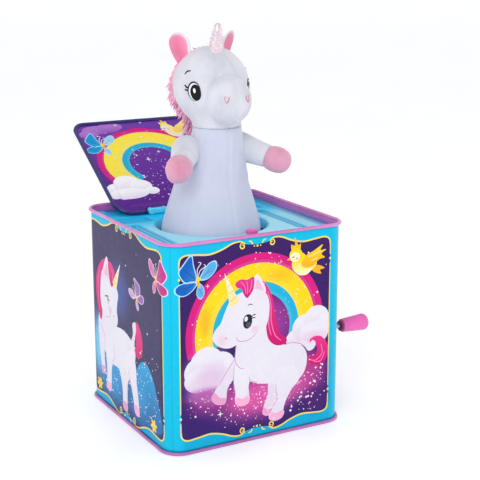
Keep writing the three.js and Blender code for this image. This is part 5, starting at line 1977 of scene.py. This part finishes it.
def add_mane():
    """A cap of hide over the back of the head, a pad down the nape, and tufts all over both."""
    columns = 48
    cap = []
    for row in range(15):
        tilt = math.radians(1 + 81 * row / 14)
        ring = [scalp_point(tilt, TAU * column / columns)[0] for column in range(columns)]
        for point in ring:
            point.z = max(point.z, 214.0)
        cap.append(ring)
    nape = []
    for row in range(13):
        polar = math.pi * (0.02 + 0.96 * row / 12)
        units = [Vector((x, y, math.cos(polar))) for x, y in circle(math.sin(polar), 20)]
        nape.append([nape_point(unit, 0.9) for unit in units])
    parts = [open_skin(cap), skin(nape)]
    draw = random.Random(31)
    for root, outward, length in hair_spots(draw):
        parts.append(tuft(root, outward, length, draw))
    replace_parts(mesh_object("fur_mane", *joined(*parts), FUR, "puppet"), "mane")


add_ear("plush_ear_left", "ear_left", -1)
add_ear("plush_ear_right", "ear_right", 1)
add_horn()
add_mane()

# ------------------------------------------------------------------ sleeve and arms

SLEEVE_FOOT_Z = 17.4
SLEEVE_THICKNESS = 0.8
SLEEVE_PROFILE = (  # (z, radius)
    (0, 37.3), (126, 37.3), (140, 36.2), (168, 28.0), (199, 19.4), (NECK_Z, 17.3),
)


def sleeve_radius(z):
    return float(np.interp(z, *zip(*SLEEVE_PROFILE)))


def sleeve_point(angle, z):
    """Folds that grow towards the skirt, drag lines at the shoulders and a seam front and back."""
    cos, sin = math.cos(angle), math.sin(angle)
    spread = ease(z, NECK_Z, 120)
    folds = 0.5 * math.sin(3 * angle + 0.9) + 0.34 * math.sin(5 * angle + z * 0.018)
    folds += 0.2 * math.sin(9 * angle - z * 0.03)
    crumple = noise.noise(Vector((cos * 2.1, sin * 2.1, z * 0.035)))
    crease = noise.noise(Vector((cos * 4.6, sin * 4.6, z * 0.11)))
    radius = sleeve_radius(z) - 0.6 + 0.95 * spread * folds + 0.9 * crumple + 0.3 * crease
    for seam in (-math.pi / 2, math.pi / 2):
        away = math.remainder(angle - seam, TAU) * sleeve_radius(z)
        radius -= 0.55 * math.exp(-((away / 0.9) ** 2))
        radius += 0.3 * math.exp(-(((away - 2.2) / 1.2) ** 2))
    for side in (-1, 1):
        shoulder = math.atan2(-0.77, side * 0.9)
        near = math.hypot(math.remainder(angle - shoulder, TAU) * 24, z - 186)
        radius += 0.2 * math.sin(near * 0.7) * math.exp(-(((near - 12) / 6) ** 2))
    return Vector((radius * cos, radius * sin, z)) + NECK_LEAN * ease(z, 168, 206)


def add_sleeve():
    rows, columns = 110, 180
    rings = []
    for row in range(rows + 1):
        z = SLEEVE_FOOT_Z + (NECK_Z + 0.4 - SLEEVE_FOOT_Z) * row / rows
        rings.append([sleeve_point(TAU * column / columns, z) for column in range(columns)])
    sleeve = mesh_object("cloth_sleeve", *open_skin(rings), BODY_KNIT, "box")
    thicken(sleeve, SLEEVE_THICKNESS)
    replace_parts(sleeve, "body_sleeve")
    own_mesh(sleeve)


ARM_PROFILE = (  # (distance from the shoulder, radius)
    (0.0, 10.2), (6.0, 10.2), (13.0, 9.5), (20.0, 8.7), (25.0, 8.2), (26.7, 7.8),
)
HOOF_PROFILE = (  # (distance from the shoulder, radius)
    (27.1, 7.9), (29.0, 8.8), (32.0, 9.3), (36.0, 9.2), (39.5, 8.2), (42.0, 6.3), (43.6, 3.5),
    (44.0, 0.4),
)


def limb(profile, place, steps, seed):
    """A stuffed tube: its radius follows the profile, with dimples and a seam underneath."""
    first, last = profile[0][0], profile[-1][0]
    rings = []
    for step in range(steps + 1):
        along = first + (last - first) * (1 - (1 - step / steps) ** 1.3)
        radius = smooth_profile(profile, along)
        ring = []
        for column in range(56):
            angle = TAU * column / 56
            c, s = math.cos(angle), math.sin(angle)
            dimple = 0.45 * noise.noise(Vector((c * 1.3 + seed, s * 1.3, along * 0.09)))
            groove = 0.4 * math.exp(-((math.remainder(angle + math.pi / 2, TAU) * radius / 0.8) ** 2))
            reach = max(radius - groove + dimple * min(1, radius / 5), 0.1)
            ring.append(place @ Vector((c * reach, s * reach, along)))
        rings.append(ring)
    return skin(rings)


def smooth_profile(profile, along):
    """The radius at one length, eased through the profile's points."""
    return float(np.mean(np.interp(np.linspace(-0.6, 0.6, 7) + along, *zip(*profile))))


def add_arms():
    limbs = (("arm_", ARM_PROFILE, 44, 2, WHITE_PLUSH), ("hoof_", HOOF_PROFILE, 36, 5, PINK_PLUSH))
    for side, name in ((-1, "left"), (1, "right")):
        mirror = Vector((side, 1, 1))
        turn = (ARM_DIRECTION * mirror).to_track_quat("Z", "Y").to_matrix().to_4x4()
        place = Matrix.Translation(SHOULDER * mirror) @ turn
        for part, profile, steps, seed, plush in limbs:
            mesh = limb(profile, place, steps, side * seed)
            piece = mesh_object("plush_" + part + name, *mesh, plush, name + "_arm")
            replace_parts(piece, part + name)


add_sleeve()
add_arms()

# ------------------------------------------------------------------ spring, lead and carried-over nodes

PLATE_Z = 191.8  # the middle of the topmost coil, under the lifted plate
SPRING_WIRE = 0.9
LEAD_RADIUS = 0.7


def spiral_path(low_radius, high_radius, low_z, high_z, turns, start=0.0):
    """Points of a coil that climbs from one radius and height to another."""
    count = turns * 34
    path = []
    for i in range(count + 1):
        share = i / count
        radius = low_radius + (high_radius - low_radius) * share
        angle = start + TAU * turns * share
        z = low_z + (high_z - low_z) * share
        path.append(Vector((radius * math.cos(angle), radius * math.sin(angle), z)))
    return path


def add_springs():
    coil = spiral_path(31, 14, 18.2, PLATE_Z, 8)
    spring = mesh_object("pop_spring_wire", *tube(coil, SPRING_WIRE, 10), STEEL, "box")
    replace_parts(spring, "pop_spring")
    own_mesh(spring)
    start = ((15, 9.5), (12.6, 9.7), (10, 10.6), (8, 12.6), (7.1, 15.5))  # (y, z) from the battery box
    route = [Vector((0, y, z)) for y, z in start] + spiral_path(7, 7, 19, PLATE_Z, 5, math.pi / 2)
    lead = mesh_object("light_lead_wire", *tube(route, LEAD_RADIUS, 10), LEAD_PLASTIC, "box")
    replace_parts(lead, "light_lead")
    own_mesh(lead)


CARRIED_OVER = (  # material, and the CAD nodes that are shown as they are
    (
        WHITE_PLASTIC,
        ("crank_bushing", "kicker_cam", "spring_base", "spring_top", "battery_box", "battery_door"),
    ),
    (STEEL, ("lid_hinge_pin", "latch_shaft", "kicker_arm", "latch_spring", "music_frame", "music_comb")),
    (
        STEEL,
        ("comb_screw_1", "comb_screw_2", "drum_axle", "base_rivet_1", "base_rivet_2", "battery_screw"),
    ),
    (BRASS, ("crank_pinion", "music_drum", "drum_gear")),
    (CELL_METAL, ("battery_cell_1", "battery_cell_2", "battery_cell_3")),
    (DARK_PLASTIC, ("switch_body", "switch_slider")),
    (PLUM_PLASTIC, ("knob_washer",)),
    (BOARD, ("led_board",)),
    (FROSTED, ("light_diffuser",)),
    *((material, (name,)) for name, material in LEDS.items()),
)


def dress_carried_over():
    for material, names in CARRIED_OVER:
        for name in names:
            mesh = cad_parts[name].data
            mesh.materials.clear()
            mesh.materials.append(material)


add_springs()
dress_carried_over()

# ------------------------------------------------------------------ floor and record

FLOOR_RINGS = (  # (radius, height) in metres
    (0.05, 0.0), (7.0, 0.0), (9.0, 0.1), (10.5, 0.5), (11.5, 1.3), (12.0, 2.4), (12.2, 3.8),
)


def add_floor():
    """A round floor that curves up far away, so that its edge never shows behind the object."""
    steps = 96
    rings = [[(*spot, z) for spot in circle(radius, steps)] for radius, z in FLOOR_RINGS]
    points, faces = open_skin(rings)
    mesh = bpy.data.meshes.new("floor")
    mesh.from_pydata(points, [], [tuple(reversed(range(steps)))] + faces)
    mesh.polygons.foreach_set("use_smooth", [True] * len(mesh.polygons))
    mesh.materials.append(floor_material())
    floor = bpy.data.objects.new("floor", mesh)
    bpy.context.scene.collection.objects.link(floor)


add_floor()
